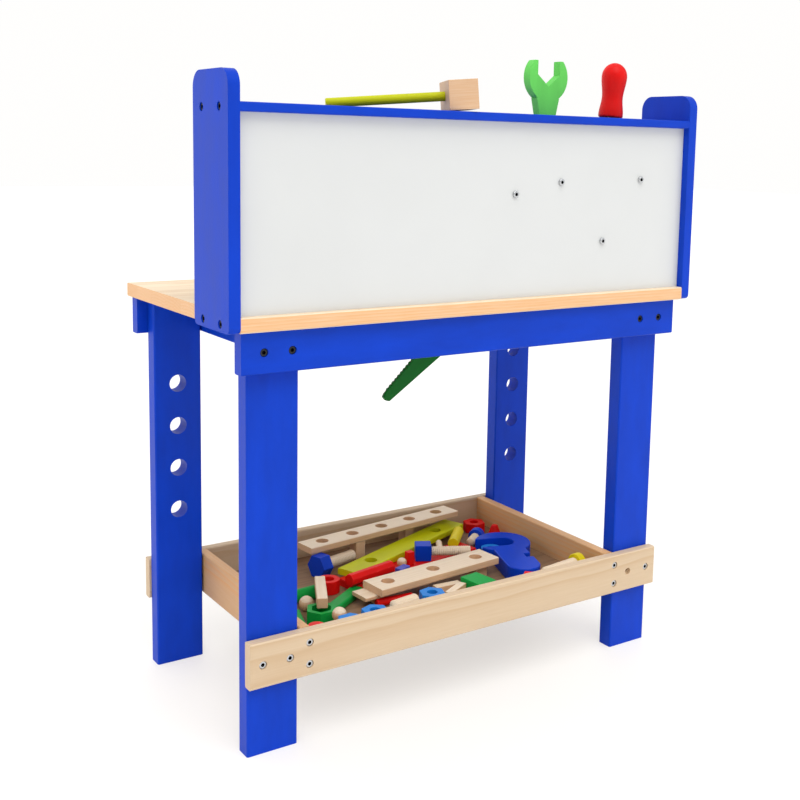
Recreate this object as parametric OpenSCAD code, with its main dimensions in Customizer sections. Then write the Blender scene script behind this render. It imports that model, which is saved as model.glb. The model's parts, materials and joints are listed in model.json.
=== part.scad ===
// Toy workbench: a table with a saw slot, a tool shelf, a gear wall and a tray of loose parts.
// Millimetres. +X runs along the bench, +Y towards the rear panel, +Z up.
// The origin is on the floor under the middle of the bench.

/* [Tabletop] */
// Length of the tabletop
top_w = 576; // [540:2:640]
// Thickness of the tabletop
top_t = 15; // [12:1:20]
// Reach of the tabletop in front of the middle
top_front = 154; // [150:1:170]
// Reach of the tabletop behind the middle
top_rear = 158; // [155:1:175]
// Rounding of the long board edges
edge_r = 2; // [1:0.5:3]
// Width of the saw slot
saw_slot_w = 8; // [7:0.5:12]

/* [Legs] */
// Height of a leg
leg_h = 436; // [400:1:480]
// Width of a leg along the bench
leg_w = 56; // [48:1:60]
// Thickness of a leg across the bench
leg_t = 20; // [18:1:24]
// Distance over the outer sides of the legs
leg_span = 544; // [530:2:560]
// Distance over the front and rear faces of the legs
leg_depth = 268; // [262:2:280]
// Diameter of the peg holes in the front legs
peg_hole_d = 20; // [14:1:26]
// Distance from the top of a leg down to its first peg hole
peg_hole_drop = 100; // [80:1:120]
// Pitch of the peg holes
peg_hole_pitch = 50; // [40:1:60]
// Number of peg holes in a front leg
peg_hole_count = 4; // [2:1:5]

/* [Aprons and side battens] */
// Length of an apron
apron_w = 568; // [560:2:580]
// Height of an apron
apron_h = 42; // [36:1:60]
// Thickness of an apron
apron_t = 15; // [13:1:18]
// Distance from the middle to the centre of a side board
side_x = 208; // [200:1:209]
// Thickness of a side board
side_t = 12; // [10:1:14]

/* [Uprights, shelf and panel] */
// Thickness of an upright
upright_t = 12; // [10:1:18]
// Depth of an upright, which is the depth of the shelf too
upright_d = 82; // [76:1:90]
// Height of an upright
upright_h = 244; // [230:1:280]
// Rounding of the upper corners of an upright
upright_r = 16; // [4:1:24]
// Distance from the top of an upright down to the top of the shelf
shelf_drop = 30; // [20:1:40]
// Thickness of the shelf
shelf_t = 9; // [9:1:14]
// Thickness of the rear panel
panel_t = 4; // [3:1:6]
// Distance from the rear edge of the shelf to the rear face of the panel
panel_inset = 9; // [6:1:14]

/* [Tray] */
// Height of the underside of the tray
tray_z = 76; // [60:1:120]
// Length of a tray rail
rail_w = 548; // [545:1:570]
// Height of the tray boards
rail_h = 48; // [44:1:60]
// Thickness of a tray rail
rail_t = 12; // [10:1:14]
// Thickness of the tray floor
floor_t = 4; // [3:1:5]
// Height of the floor above the underside of the tray
floor_lift = 8; // [6:1:10]
// Depth of the groove that holds the floor
groove = 3; // [2:0.5:3.5]

/* [Frame screws] */
// Diameter of a frame screw head
screw_head_d = 8; // [7:0.5:9]
// Diameter of a frame screw shank
screw_d = 4; // [3:0.5:5]
// Length of a frame screw under its head
screw_l = 24; // [18:1:26]
// Depth of a counterbore
sink = 3.5; // [2.5:0.5:4.5]
// Distance from the middle to the outer screw of a leg
screw_x_out = 260; // [255:1:262]
// Distance from the middle to the inner screw of a leg
screw_x_in = 230; // [226:1:235]
// Half the height between the two screws of a tray side
screw_pair = 11.5; // [10:0.5:13]

/* [Gear train] */
// Module of the gears
gear_m = 5; // [4:0.25:5]
// Teeth of the large gear
teeth_large = 20; // [16:1:20]
// Teeth of the upper gear
teeth_upper = 17; // [13:1:17]
// Teeth of the outer gear
teeth_outer = 16; // [12:1:16]
// Teeth of the small gear
teeth_small = 9; // [9:1:12]
// Thickness of a gear
gear_t = 12; // [8:1:14]
// Play between two flanks on the pitch circle
backlash = 0.9; // [0.8:0.1:1.4]
// Distance from the middle to the centre of the large gear
large_x = -163.5; // [-170:0.5:-155]
// Height of the centre of the large gear above the tabletop
large_rise = 59; // [57:0.5:64]
// Direction from the large gear to the upper gear in degrees
upper_dir = 46.4; // [42:0.2:50]
// Direction from the large gear to the outer gear in degrees
outer_dir = 128.7; // [122:0.1:132]
// Direction from the upper gear to the small gear in degrees
small_dir = -11.6; // [-30:0.2:5]
// Diameter of an axle peg
axle_d = 10; // [8:0.5:14]
// Radial play of a gear on its axle peg
axle_play = 0.08; // [0.05:0.01:0.1]
// Diameter of the head of an axle peg
axle_head_d = 20; // [17:1:24]
// Thickness of the spacer washer behind a gear
washer_t = 1.5; // [1:0.5:3]

/* [Hammer] */
// Length of the hammer head
hammer_l = 60; // [50:1:62]
// Side of the hammer head
hammer_s = 31; // [26:1:34]
// Diameter of the hammer handle
hammer_d = 10; // [9:0.5:13]
// Reach of the handle beyond the head
hammer_reach = 125; // [100:1:150]
// Turn of the hammer on the shelf in degrees
hammer_turn = -25; // [-30:1:-20]

/* [Open wrench] */
// Radius of the head of the open wrench
wrench_r = 27.5; // [24:0.5:30]
// Width of its jaw
wrench_jaw = 31; // [24:1:34]
// Thickness of the open wrench
wrench_t = 11; // [8:1:13]
// Width of its handle
wrench_w = 22; // [16:1:24]
// Height of the centre of its head above the shelf
wrench_rise = 43; // [38:1:46]
// Length of its handle below the head centre
wrench_l = 145; // [110:1:160]

/* [Screwdriver] */
// Diameter of the screwdriver handle at its base
driver_d = 29; // [24:1:32]
// Length of the screwdriver handle
driver_l = 64; // [56:1:80]
// Diameter of the screwdriver shaft
driver_shaft_d = 8; // [6:0.5:9]
// Length of the screwdriver shaft below the handle
driver_shaft_l = 78; // [50:1:90]
// Lean of the screwdriver in degrees
driver_lean = 5; // [2:0.5:6]

/* [Saw] */
// Thickness of the saw blade
saw_t = 5; // [4:0.5:6]
// Length of the saw blade from its tip to the handle
saw_l = 228; // [223:1:230]
// Half width of the blade at its tip
saw_tip = 6.1; // [5:0.1:8]
// Taper of each edge of the blade in degrees
saw_taper = 4.8; // [4:0.2:5]
// Slope of the blade in the slot in degrees
saw_slope = 38.8; // [38:0.2:40]
// Pitch of the saw teeth
tooth_pitch = 5; // [4:0.5:7]
// Depth of the saw teeth
tooth_depth = 1.6; // [1:0.2:2.4]
// Thickness of the saw handle
saw_grip_t = 16; // [12:1:18]

/* [Loose planks] */
// Thickness of the five-hole and lime planks
plank_t = 8; // [6:1:9]
// Width of the five-hole plank
plank_w = 31; // [26:1:33]
// Length of the five-hole plank
plank_l = 240; // [232:1:246]
// Diameter of the plank holes
plank_hole_d = 16; // [12:1:17]
// Thickness of the three-hole plank
wide_plank_t = 9; // [7:1:10]
// Width of the three-hole plank
wide_plank_w = 38; // [32:1:40]
// Length of the three-hole plank
wide_plank_l = 178; // [170:1:182]
// Height of the lowest layer of planks
bottom_plank_t = 9; // [8:0.5:9]

/* [Loose small parts] */
// Width across the flats of a hexagon nut
nut_af = 27; // [22:1:27]
// Height of a hexagon nut
nut_h = 13; // [10:1:14]
// Side of the cube bolt head
cube_s = 20; // [16:1:20]
// Thickness of the blue wrench
chunky_t = 20; // [14:1:22]
// Height of the head of the socket spanner
spanner_h = 15.7; // [13:0.1:15.7]
// Rest gap between two loose pieces
rest = 0.3; // [0.2:0.05:0.4]

/* [Hidden] */
$fn = 48;

// Small distance by which a cutting shape runs past a face
eps = 1;

// Paint and wood colours
BLUE = "royalblue";
PINE = "burlywood";
BEECH = "navajowhite";
WHITE = "whitesmoke";
STEEL = "silver";
DARK = "dimgray";
GREEN = "mediumseagreen";
DARK_GREEN = "darkgreen";
RED = "red";
LIME = "yellowgreen";
YELLOW = "gold";
SKY = "deepskyblue";
PURPLE = "mediumslateblue";

// Heights and faces that several pieces share
top_z = leg_h + top_t;
leg_x = leg_span / 2 - leg_w / 2;
leg_y = leg_depth / 2 - leg_t / 2;
frame_y = leg_depth / 2;
upright_z = leg_h;
shelf_top = upright_z + upright_h - shelf_drop;
shelf_z = shelf_top - shelf_t;
shelf_y = top_rear - upright_d / 2;
panel_y = top_rear - panel_inset - panel_t;
screw_side_y = upright_d / 4;
rail_z = tray_z + rail_h / 2;
floor_z = tray_z + floor_lift;
floor_top = floor_z + floor_t;
side_inner = side_x - side_t / 2;
floor_play = 0.2;
head_h = 2.5;
pilot = 0.25;

// ---------------------------------------------------------------- shared shapes

module rounded_rect(w, h, r) {
    square([w - 2 * r, h], center = true);
    square([w, h - 2 * r], center = true);
    for (x = [-1, 1], y = [-1, 1])
        translate([x * (w / 2 - r), y * (h / 2 - r)]) circle(r = r);
}

// Board centred on the origin with its long edges eased
module board_x(l, w, t, r = edge_r) {
    rotate([90, 0, 90]) linear_extrude(l, center = true) rounded_rect(w, t, r);
}

module board_y(l, w, t, r = edge_r) {
    rotate([90, 0, 0]) linear_extrude(l, center = true) rounded_rect(w, t, r);
}

// Socket-head wood screw: its head points to +Z and the head's underside is at the origin
module wood_screw(head_d, shank_d, l) {
    tip_l = 4;
    socket_d = head_d * 0.5;
    difference() {
        cylinder(d = head_d, h = head_h);
        translate([0, 0, head_h / 3]) cylinder(d = socket_d, h = head_h, $fn = 6);
    }
    translate([0, 0, tip_l - l]) cylinder(d = shank_d, h = l - tip_l);
    translate([0, 0, -l]) cylinder(d1 = 1, d2 = shank_d, h = tip_l);
}

// Hole for that screw, with its counterbore
module screw_hole(l) {
    translate([0, 0, -l - pilot]) cylinder(d = screw_d + 2 * pilot, h = l + eps);
    cylinder(d = screw_head_d + 2 * pilot, h = sink + eps);
}

// A loose piece turned about +Z and set down on the height z
module placed(x, y, z, turn = 0) {
    translate([x, y, z]) rotate(turn) children();
}

// A round bar lying on the height z, centred on (x, y)
module lying_bar(x, y, z, turn, d, l, sides = 48) {
    lift = sides == 48 ? d / 2 : d / 2 * cos(180 / sides);
    placed(x, y, z + lift, turn) rotate([0, 90, 0]) rotate(180 / sides)
        cylinder(d = d, h = l, center = true, $fn = sides);
}

module hexagon(af, h) {
    cylinder(d = af / cos(30), h = h, $fn = 6);
}

// Nut with six flats and a round hole
module nut(af, h, hole) {
    difference() {
        hexagon(af, h);
        translate([0, 0, -eps]) cylinder(d = hole, h = h + 2 * eps);
    }
}

// ---------------------------------------------------------------- table

saw_y = 50;
saw_tip_x = 65.9;
saw_tip_z = top_z - 121.1;

// Where an edge of the saw blade, on the side v, is at the height z
function saw_edge_x(z, side) =
    saw_tip_x + side * saw_tip * sin(saw_slope)
    - (z - saw_tip_z - side * saw_tip * cos(saw_slope)) / tan(saw_slope + side * saw_taper);

saw_slot_from = saw_edge_x(top_z, -1) - 3;
saw_slot_to = saw_edge_x(leg_h, 1) + 3;

module tabletop() {
    color(PINE) difference() {
        translate([0, (top_rear - top_front) / 2, leg_h + top_t / 2])
            board_x(top_w, top_front + top_rear, top_t);
        translate([(saw_slot_from + saw_slot_to) / 2, saw_y, leg_h - eps])
            linear_extrude(top_t + 2 * eps)
                rounded_rect(saw_slot_to - saw_slot_from, saw_slot_w, saw_slot_w / 2 - 0.5);
        for (side = [-1, 1], y = [-1, 1])
            translate([side * (top_w / 2 + upright_t - sink), shelf_y + y * screw_side_y,
                       leg_h + top_t / 2])
                rotate([0, side * 90, 0]) screw_hole(screw_l);
    }
}

module leg(side, end) {
    color(BLUE) difference() {
        translate([side * leg_x, end * leg_y, leg_h / 2])
            linear_extrude(leg_h, center = true) rounded_rect(leg_w, leg_t, edge_r);
        if (end < 0)
            for (i = [0 : peg_hole_count - 1])
                translate([side * leg_x, -leg_y, leg_h - peg_hole_drop - i * peg_hole_pitch])
                    rotate([90, 0, 0])
                        cylinder(d = peg_hole_d, h = leg_t + 2 * eps, center = true);
        apron_screw_places(end) screw_hole(screw_l);
        rail_screw_places(end) screw_hole(screw_l);
    }
}

// Screws of an apron: two at each end, into the legs
module apron_screw_places(end) {
    for (x = [-screw_x_out, -screw_x_in, screw_x_in, screw_x_out])
        translate([x, end * (frame_y + apron_t - sink), leg_h - apron_h / 2])
            rotate([-end * 90, 0, 0]) children();
}

module apron(end) {
    color(BLUE) difference() {
        translate([0, end * (frame_y + apron_t / 2), leg_h - apron_h / 2])
            board_x(apron_w, apron_t, apron_h);
        apron_screw_places(end) screw_hole(screw_l);
    }
}

module table_batten(side) {
    color(BLUE) translate([side * side_x, 0, leg_h - apron_h / 2])
        board_y(leg_depth, side_t, apron_h);
}

// ---------------------------------------------------------------- uprights, shelf and panel

// Screws of an upright: two into the tabletop and two into the shelf
module upright_screw_places(side) {
    for (z = [leg_h + top_t / 2, shelf_top - shelf_t / 2], y = [-1, 1])
        translate([side * (top_w / 2 + upright_t - sink), shelf_y + y * screw_side_y, z])
            rotate([0, side * 90, 0]) children();
}

module upright(side) {
    foot_r = 6;
    color(BLUE) difference() {
        translate([side * (top_w / 2 + upright_t / 2), shelf_y, upright_z + upright_h / 2])
            rotate([90, 0, 90]) linear_extrude(upright_t, center = true) {
                translate([0, foot_r / 2])
                    rounded_rect(upright_d, upright_h - foot_r, upright_r);
                translate([0, -upright_h / 2 + (upright_h / 2) / 2])
                    rounded_rect(upright_d, upright_h / 2, foot_r);
            }
        upright_screw_places(side) screw_hole(screw_l);
    }
}

wrench_x = -105;
tool_y = shelf_y - 7;
wrench_slot_w = wrench_w + 1.4;
wrench_slot_t = wrench_t + 1;
driver_foot_x = -204.5;
driver_hole_d = driver_shaft_d + 6;

module tool_shelf() {
    color(BLUE) difference() {
        translate([0, shelf_y, shelf_top - shelf_t / 2]) board_x(top_w, upright_d, shelf_t);
        translate([wrench_x, tool_y, shelf_z - eps])
            linear_extrude(shelf_t + 2 * eps) square([wrench_slot_w, wrench_slot_t], center = true);
        translate([driver_foot_x, tool_y, shelf_z - eps])
            cylinder(d = driver_hole_d, h = shelf_t + 2 * eps);
        for (side = [-1, 1]) upright_screw_places(side) screw_hole(screw_l);
    }
}

module rear_panel() {
    color(WHITE) difference() {
        translate([-top_w / 2, panel_y, top_z]) cube([top_w, panel_t, shelf_z - top_z]);
        gear_places() rotate([90, 0, 0])
            cylinder(d = gear_screw_d + 2 * pilot, h = 2 * (panel_t + eps), center = true);
    }
}

// ---------------------------------------------------------------- tray

// Screws of a tray rail: two into each leg and two into the end of each side board
module rail_screw_places(end, only_filled = false) {
    for (side = [-1, 1]) {
        for (x = [screw_x_in, screw_x_out])
            if (!(only_filled && end > 0 && side < 0 && x == screw_x_in))
                translate([side * x, end * (frame_y + rail_t - sink), rail_z])
                    rotate([-end * 90, 0, 0]) children();
        for (z = [-screw_pair, screw_pair])
            translate([side * side_x, end * (frame_y + rail_t - sink), rail_z + z])
                rotate([-end * 90, 0, 0]) children();
    }
}

module floor_board(play) {
    w = 2 * (side_inner + groove - play);
    d = 2 * (frame_y + groove - play);
    translate([-w / 2, -d / 2, floor_z]) cube([w, d, floor_t]);
}

module tray_rail(end) {
    color(PINE) difference() {
        translate([0, end * (frame_y + rail_t / 2), rail_z]) board_x(rail_w, rail_t, rail_h);
        rail_screw_places(end) screw_hole(screw_l);
        floor_board(0);
    }
}

module tray_side(side) {
    color(PINE) difference() {
        translate([side * side_x, 0, rail_z]) board_y(leg_depth, side_t, rail_h);
        for (end = [-1, 1]) rail_screw_places(end) screw_hole(screw_l);
        floor_board(0);
    }
}

module tray_floor() {
    color(PINE) floor_board(floor_play);
}

// ---------------------------------------------------------------- screws

module apron_screws() {
    color(DARK) for (end = [-1, 1])
        apron_screw_places(end) wood_screw(screw_head_d, screw_d, screw_l);
}

module tray_screws() {
    color(STEEL) for (end = [-1, 1])
        rail_screw_places(end, true) wood_screw(screw_head_d, screw_d, screw_l);
}

module upright_screws() {
    color(DARK) for (side = [-1, 1])
        upright_screw_places(side) wood_screw(screw_head_d, screw_d, screw_l);
}

// ---------------------------------------------------------------- gear train

pressure = 25;
addendum = 0.8 * gear_m;
dedendum = 1.05 * gear_m;
gear_screw_d = 4;
gear_screw_head_d = 7.5;
gear_play = 0.3;

function mesh_distance(a, b) = gear_m * (a + b) / 2;
function step_to(from, distance, dir) = from + distance * [cos(dir), sin(dir)];

// Gear centres as [x, z]
large_at = [large_x, top_z + large_rise];
upper_at = step_to(large_at, mesh_distance(teeth_large, teeth_upper), upper_dir);
outer_at = step_to(large_at, mesh_distance(teeth_large, teeth_outer), outer_dir);
small_at = step_to(upper_at, mesh_distance(teeth_upper, teeth_small), small_dir);

// Turn of a gear whose gaps take the teeth of a turned neighbour in the direction dir
function mesh_turn(turn, teeth, dir, next_teeth) =
    dir + 180 - (0.5 - (dir - turn) * teeth / 360) * 360 / next_teeth;

large_turn = 0;
upper_turn = mesh_turn(large_turn, teeth_large, upper_dir, teeth_upper);
outer_turn = mesh_turn(large_turn, teeth_large, outer_dir, teeth_outer);
small_turn = mesh_turn(upper_turn, teeth_upper, small_dir, teeth_small);

// Involute function of an angle, in degrees
function involute(a) = tan(a) * 180 / PI - a;

// Half the angle that a tooth fills at the radius r
function tooth_half(teeth, r) =
    let (pitch_r = gear_m * teeth / 2, base_r = pitch_r * cos(pressure))
    (PI * gear_m / 2 - backlash / 2) / pitch_r * 90 / PI + involute(pressure)
    - involute(r > base_r ? acos(base_r / r) : 0);

function polar(r, a) = r * [cos(a), sin(a)];

// Outline of one tooth, from the gap before it to its far root
function tooth_points(teeth, centre) =
    let (pitch_r = gear_m * teeth / 2, root_r = pitch_r - dedendum, tip_r = pitch_r + addendum,
         low_r = max(root_r, pitch_r * cos(pressure)), steps = 5, soft = 0.6)
    concat(
        [polar(root_r, centre - 180 / teeth)],
        [polar(root_r, centre - tooth_half(teeth, low_r))],
        [for (i = [0 : steps]) let (r = low_r + (tip_r - soft - low_r) * i / steps)
            polar(r, centre - tooth_half(teeth, r))],
        [polar(tip_r, centre - tooth_half(teeth, tip_r) * 0.6)],
        [polar(tip_r, centre + tooth_half(teeth, tip_r) * 0.6)],
        [for (i = [steps : -1 : 0]) let (r = low_r + (tip_r - soft - low_r) * i / steps)
            polar(r, centre + tooth_half(teeth, r))],
        [polar(root_r, centre + tooth_half(teeth, low_r))]
    );

// Spur gear standing in the XZ plane, with its rear face against its spacer
module gear(at, teeth, turn, finger_holes, finger_d) {
    hub_r = axle_d / 2 + axle_play;
    ring_r = gear_m * teeth / 4 + axle_d / 4;
    translate([at[0], panel_y - washer_t - gear_play, at[1]]) rotate([90, 0, 0]) difference() {
        linear_extrude(gear_t) polygon([for (k = [0 : teeth - 1])
            each tooth_points(teeth, turn + k * 360 / teeth)]);
        translate([0, 0, -eps]) cylinder(r = hub_r, h = gear_t + 2 * eps);
        for (k = [0 : 1 : finger_holes - 1])
            rotate(turn + (k + 0.5) * 360 / finger_holes) translate([ring_r, 0, -eps])
                cylinder(d = finger_d, h = gear_t + 2 * eps);
    }
}

module gear_places() {
    for (at = [large_at, upper_at, outer_at, small_at])
        translate([at[0], panel_y, at[1]]) children();
}

module gear_large() { color(YELLOW) gear(large_at, teeth_large, large_turn, 5, 16); }
module gear_upper() { color(RED) gear(upper_at, teeth_upper, upper_turn, 4, 14); }
module gear_outer() { color(GREEN) gear(outer_at, teeth_outer, outer_turn, 4, 13); }
module gear_small() { color(SKY) gear(small_at, teeth_small, small_turn, 0, 0); }

module gear_washers() {
    color(STEEL) gear_places() rotate([90, 0, 0]) difference() {
        cylinder(d = axle_head_d, h = washer_t);
        translate([0, 0, -eps]) cylinder(d = gear_screw_d + 2 * pilot, h = washer_t + 2 * eps);
    }
}

gear_screw_l = panel_t + washer_t + 14;

// Turned peg: a shaft through the gear and a domed head in front of it
module axle_pegs() {
    shaft_l = gear_t + 2 * gear_play;
    rim = 3;
    dome = 4;
    head_r = axle_head_d / 2;
    color(BEECH) gear_places() translate([0, -washer_t, 0]) rotate([90, 0, 0]) difference() {
        rotate_extrude() union() {
            square([axle_d / 2, shaft_l + rim]);
            translate([0, shaft_l]) square([head_r, rim]);
            translate([0, shaft_l + rim]) intersection() {
                scale([1, dome / head_r]) circle(r = head_r);
                square([head_r, dome]);
            }
        }
        translate([0, 0, -eps])
            cylinder(d = gear_screw_d + 2 * pilot, h = gear_screw_l - panel_t - washer_t + eps + 1);
    }
}

module gear_screws() {
    color(STEEL) gear_places() translate([0, panel_t, 0]) rotate([-90, 0, 0])
        wood_screw(gear_screw_head_d, gear_screw_d, gear_screw_l);
}

// ---------------------------------------------------------------- tools on the shelf

// The hammer lies on the edge of its head and the end of its handle, so it leans by this angle
hammer_lean = let (a = hammer_reach, b = (hammer_s - hammer_d) / 2) atan(b / a);
hammer_x = 26.3;
hammer_y = tool_y + 18.2;
hammer_z = shelf_top + rest
    + hammer_s / 2 * (cos(hammer_lean) + sin(hammer_lean));

module in_hammer() {
    translate([hammer_x, hammer_y, hammer_z]) rotate([0, 0, hammer_turn])
        rotate([0, hammer_lean, 0]) children();
}

module hammer_head() {
    color(BEECH) in_hammer() difference() {
        rotate([90, 0, 0]) linear_extrude(hammer_l, center = true)
            square([hammer_s, hammer_s], center = true);
        rotate([0, 90, 0]) cylinder(d = hammer_d, h = hammer_s + 2 * eps, center = true);
    }
}

module hammer_handle() {
    color(LIME) in_hammer() translate([-hammer_s / 2, 0, 0]) rotate([0, 90, 0])
        cylinder(d = hammer_d, h = hammer_s + hammer_reach);
}

// Open-end wrench hanging in its slot; the flare under the head rests in the slot
module open_wrench() {
    jaw_floor = 3;
    jaw_point = 10;
    tip_cut = 18.5;
    flare_z = -wrench_rise - 2;
    flare_w = 32;
    color(GREEN) translate([wrench_x, tool_y, shelf_top + wrench_rise]) rotate([90, 0, 0])
        linear_extrude(wrench_t, center = true) difference() {
            union() {
                circle(r = wrench_r);
                translate([-wrench_w / 2, -wrench_l + wrench_w / 2])
                    square([wrench_w, wrench_l - wrench_w / 2]);
                translate([0, -wrench_l + wrench_w / 2]) circle(d = wrench_w);
                polygon([[-wrench_w / 2, flare_z], [wrench_w / 2, flare_z],
                         [flare_w / 2, flare_z + 22], [-flare_w / 2, flare_z + 22]]);
            }
            polygon([[-wrench_jaw / 2, wrench_r + eps], [-wrench_jaw / 2, jaw_floor],
                     [0, -jaw_point], [wrench_jaw / 2, jaw_floor],
                     [wrench_jaw / 2, wrench_r + eps]]);
            translate([-wrench_r, tip_cut]) square([2 * wrench_r, wrench_r]);
            translate([0, -wrench_l + wrench_w / 2]) circle(d = wrench_w / 2.5);
        }
}

driver_z = shelf_top + rest + driver_d / 2 * sin(driver_lean);

module in_driver() {
    translate([driver_foot_x, tool_y, driver_z]) rotate([0, -driver_lean, 0]) children();
}

// Turned handle: a base, a waist and a bulb, closed by a dome
module screwdriver_handle() {
    base_r = driver_d / 2;
    waist_r = base_r - 2.2;
    bulb_r = base_r + 0.5;
    color(RED) in_driver() difference() {
        rotate_extrude() polygon(concat(
            [[0, 0], [base_r - 1, 0], [base_r, 1.5]],
            [for (i = [0 : 8]) let (f = i / 8)
                [base_r + (waist_r - base_r) * (1 - cos(180 * f)) / 2, 3 + (0.32 * driver_l) * f]],
            [for (i = [1 : 8]) let (f = i / 8)
                [waist_r + (bulb_r - waist_r) * (1 - cos(180 * f)) / 2,
                 3 + driver_l * (0.32 + 0.38 * f)]],
            [for (i = [1 : 8]) let (a = i * 90 / 8)
                [bulb_r * cos(a), 3 + 0.7 * driver_l + (0.3 * driver_l - 3) * sin(a)]]
        ));
        translate([0, 0, -eps]) cylinder(d = driver_shaft_d, h = 20 + eps);
    }
}

module screwdriver_shaft() {
    blade_l = 12;
    blade_t = 2;
    color(STEEL) in_driver() {
        translate([0, 0, -driver_shaft_l + blade_l])
            cylinder(d = driver_shaft_d, h = driver_shaft_l - blade_l + 20);
        translate([0, 0, -driver_shaft_l]) intersection() {
            cylinder(d = driver_shaft_d, h = blade_l);
            rotate([90, 0, 0]) linear_extrude(driver_shaft_d, center = true)
                polygon([[-blade_t / 2, 0], [blade_t / 2, 0],
                         [driver_shaft_d / 2, blade_l], [-driver_shaft_d / 2, blade_l]]);
        }
    }
}

// Saw frame: X runs up the blade from its tip and Y points to its toothed edge
module in_saw() {
    translate([saw_tip_x, saw_y, saw_tip_z]) rotate([90, 0, 0]) rotate(180 - saw_slope)
        mirror([0, 1, 0]) children();
}

saw_grip_l = 74;
saw_grip_w = 70;
saw_grip_r = 15;
saw_tang = 22;

function saw_half(u) = saw_tip + u * tan(saw_taper);

module saw_blade() {
    toothed_to = 150;
    count = floor(toothed_to / tooth_pitch);
    start = 8;
    color(DARK_GREEN) in_saw() linear_extrude(saw_t, center = true) polygon(concat(
        [[3, -saw_tip], [0, -saw_tip + 4], [0, saw_tip - 3], [4, saw_half(4) - tooth_depth]],
        [for (i = [0 : count - 1]) let (u = start + i * tooth_pitch)
            each [[u, saw_half(u) - tooth_depth], [u + tooth_pitch / 2, saw_half(u)]]],
        [[start + count * tooth_pitch, saw_half(start + count * tooth_pitch) - tooth_depth],
         [start + (count + 1) * tooth_pitch, saw_half(start + count * tooth_pitch)],
         [saw_l, saw_half(200)], [saw_l + saw_tang, saw_half(200)],
         [saw_l + saw_tang, -saw_half(200)], [saw_l, -saw_half(200)],
         [200, -saw_half(200)]]
    ));
}

// Closed grip that rests on the tabletop
module saw_handle() {
    grip_at = saw_l + saw_grip_l / 2 - 0.6;
    color(GREEN) in_saw() difference() {
        translate([grip_at, 0, 0]) linear_extrude(saw_grip_t, center = true) difference() {
            rounded_rect(saw_grip_l, saw_grip_w, saw_grip_r);
            translate([7, 0]) rounded_rect(saw_grip_l - 46, saw_grip_w - 28, 12);
        }
        translate([saw_l - saw_grip_l / 2, -saw_half(200), -saw_t / 2])
            cube([saw_grip_l / 2 + saw_tang, 2 * saw_half(200), saw_t]);
    }
}

// ---------------------------------------------------------------- loose pieces in the tray

layer_2 = floor_top + bottom_plank_t + rest;

// Plank with a row of round holes, resting on the height z
module plank(l, w, t, holes) {
    difference() {
        translate([0, 0, t / 2]) board_x(l, w, t, 1.5);
        for (x = holes) translate([x, 0, -eps]) cylinder(d = plank_hole_d, h = t + 2 * eps);
    }
}

five_hole_z = layer_2 + 17.7;

module five_hole_plank() {
    pitch = 46.7;
    color(BEECH) placed(-24, -100, five_hole_z, 7)
        plank(plank_l, plank_w, plank_t, [for (i = [-2 : 2]) i * pitch]);
}

module lime_plank() {
    l = 230;
    color(LIME) placed(-38, -66, layer_2, 22) plank(l, 32, plank_t, [-l / 2 + 45, l / 2 - 45]);
}

strip_t = 5;
spanner_bar_t = 9.2;
strip_z = floor_top + spanner_bar_t + rest;
three_hole_z = strip_z + strip_t + rest;

module three_hole_plank() {
    color(BEECH) placed(-13, 38.5, three_hole_z, 5)
        plank(wide_plank_l, wide_plank_w, wide_plank_t, [-67, 0, 67]);
}

module thin_strip() {
    color(BEECH) placed(34, 38, strip_z, 5) plank(116, 28, strip_t, [-40]);
}

module red_plank() {
    color(RED) placed(-22, -27, floor_top, 9) plank(200, 34, bottom_plank_t, [-60, 60]);
}

module lower_planks() {
    color(BEECH) placed(50, 99, floor_top) plank(200, 38, bottom_plank_t, [-70, 0, 70]);
    color(BEECH) placed(-125, 115, floor_top) plank(130, 29, bottom_plank_t, [-40, 40]);
}

chunky_x = -150;
chunky_y = -4;
chunky_r = 36;
chunky_jaw = 29;
jaw_dir = -18;

// Thick open-end wrench with a short handle and a square notch
module blue_wrench() {
    handle_w = 42;
    handle_end = [27, 78];
    handle_dir = atan2(handle_end[1], handle_end[0]);
    handle_l = norm(handle_end);
    notch = 9;
    color(BLUE) placed(chunky_x, chunky_y, floor_top) linear_extrude(chunky_t) difference() {
        union() {
            circle(r = chunky_r);
            rotate(handle_dir) translate([0, -handle_w / 2]) square([handle_l, handle_w]);
            translate(handle_end) circle(d = handle_w);
        }
        rotate(jaw_dir) {
            circle(d = chunky_jaw);
            translate([0, -chunky_jaw / 2]) square([chunky_r + eps, chunky_jaw]);
        }
        rotate(handle_dir) translate([handle_l - 34, handle_w / 2 - notch])
            square([12, notch + eps]);
    }
}

spanner_x = 147.5;
spanner_y = 57;
spanner_dir = 213.5;

// Hexagon socket head on a flat bar
module socket_spanner() {
    head_af = 31;
    socket_af = 21;
    bar_l = 88;
    bar_w = 16;
    color(GREEN) placed(spanner_x, spanner_y, floor_top) difference() {
        union() {
            hexagon(head_af, spanner_h);
            rotate(spanner_dir) translate([bar_l / 2, 0, spanner_bar_t / 2])
                rotate([90, 0, 90]) linear_extrude(bar_l, center = true)
                    rounded_rect(bar_w, spanner_bar_t, 3);
        }
        translate([0, 0, 4]) hexagon(socket_af, spanner_h);
    }
}

stick_s = 12;

module square_stick() {
    color(BEECH) placed(133.4, 29.5, floor_top + spanner_h + rest, 64.5)
        translate([-34, -stick_s / 2, 0]) cube([68, stick_s, stick_s]);
}

cube_x = -42;
cube_y = -28;
cube_dir = 151.5;

module cube_bolt_head() {
    color(BLUE) placed(cube_x, cube_y, layer_2, cube_dir)
        translate([-cube_s / 2, -cube_s / 2, 0]) cube(cube_s);
}

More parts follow.
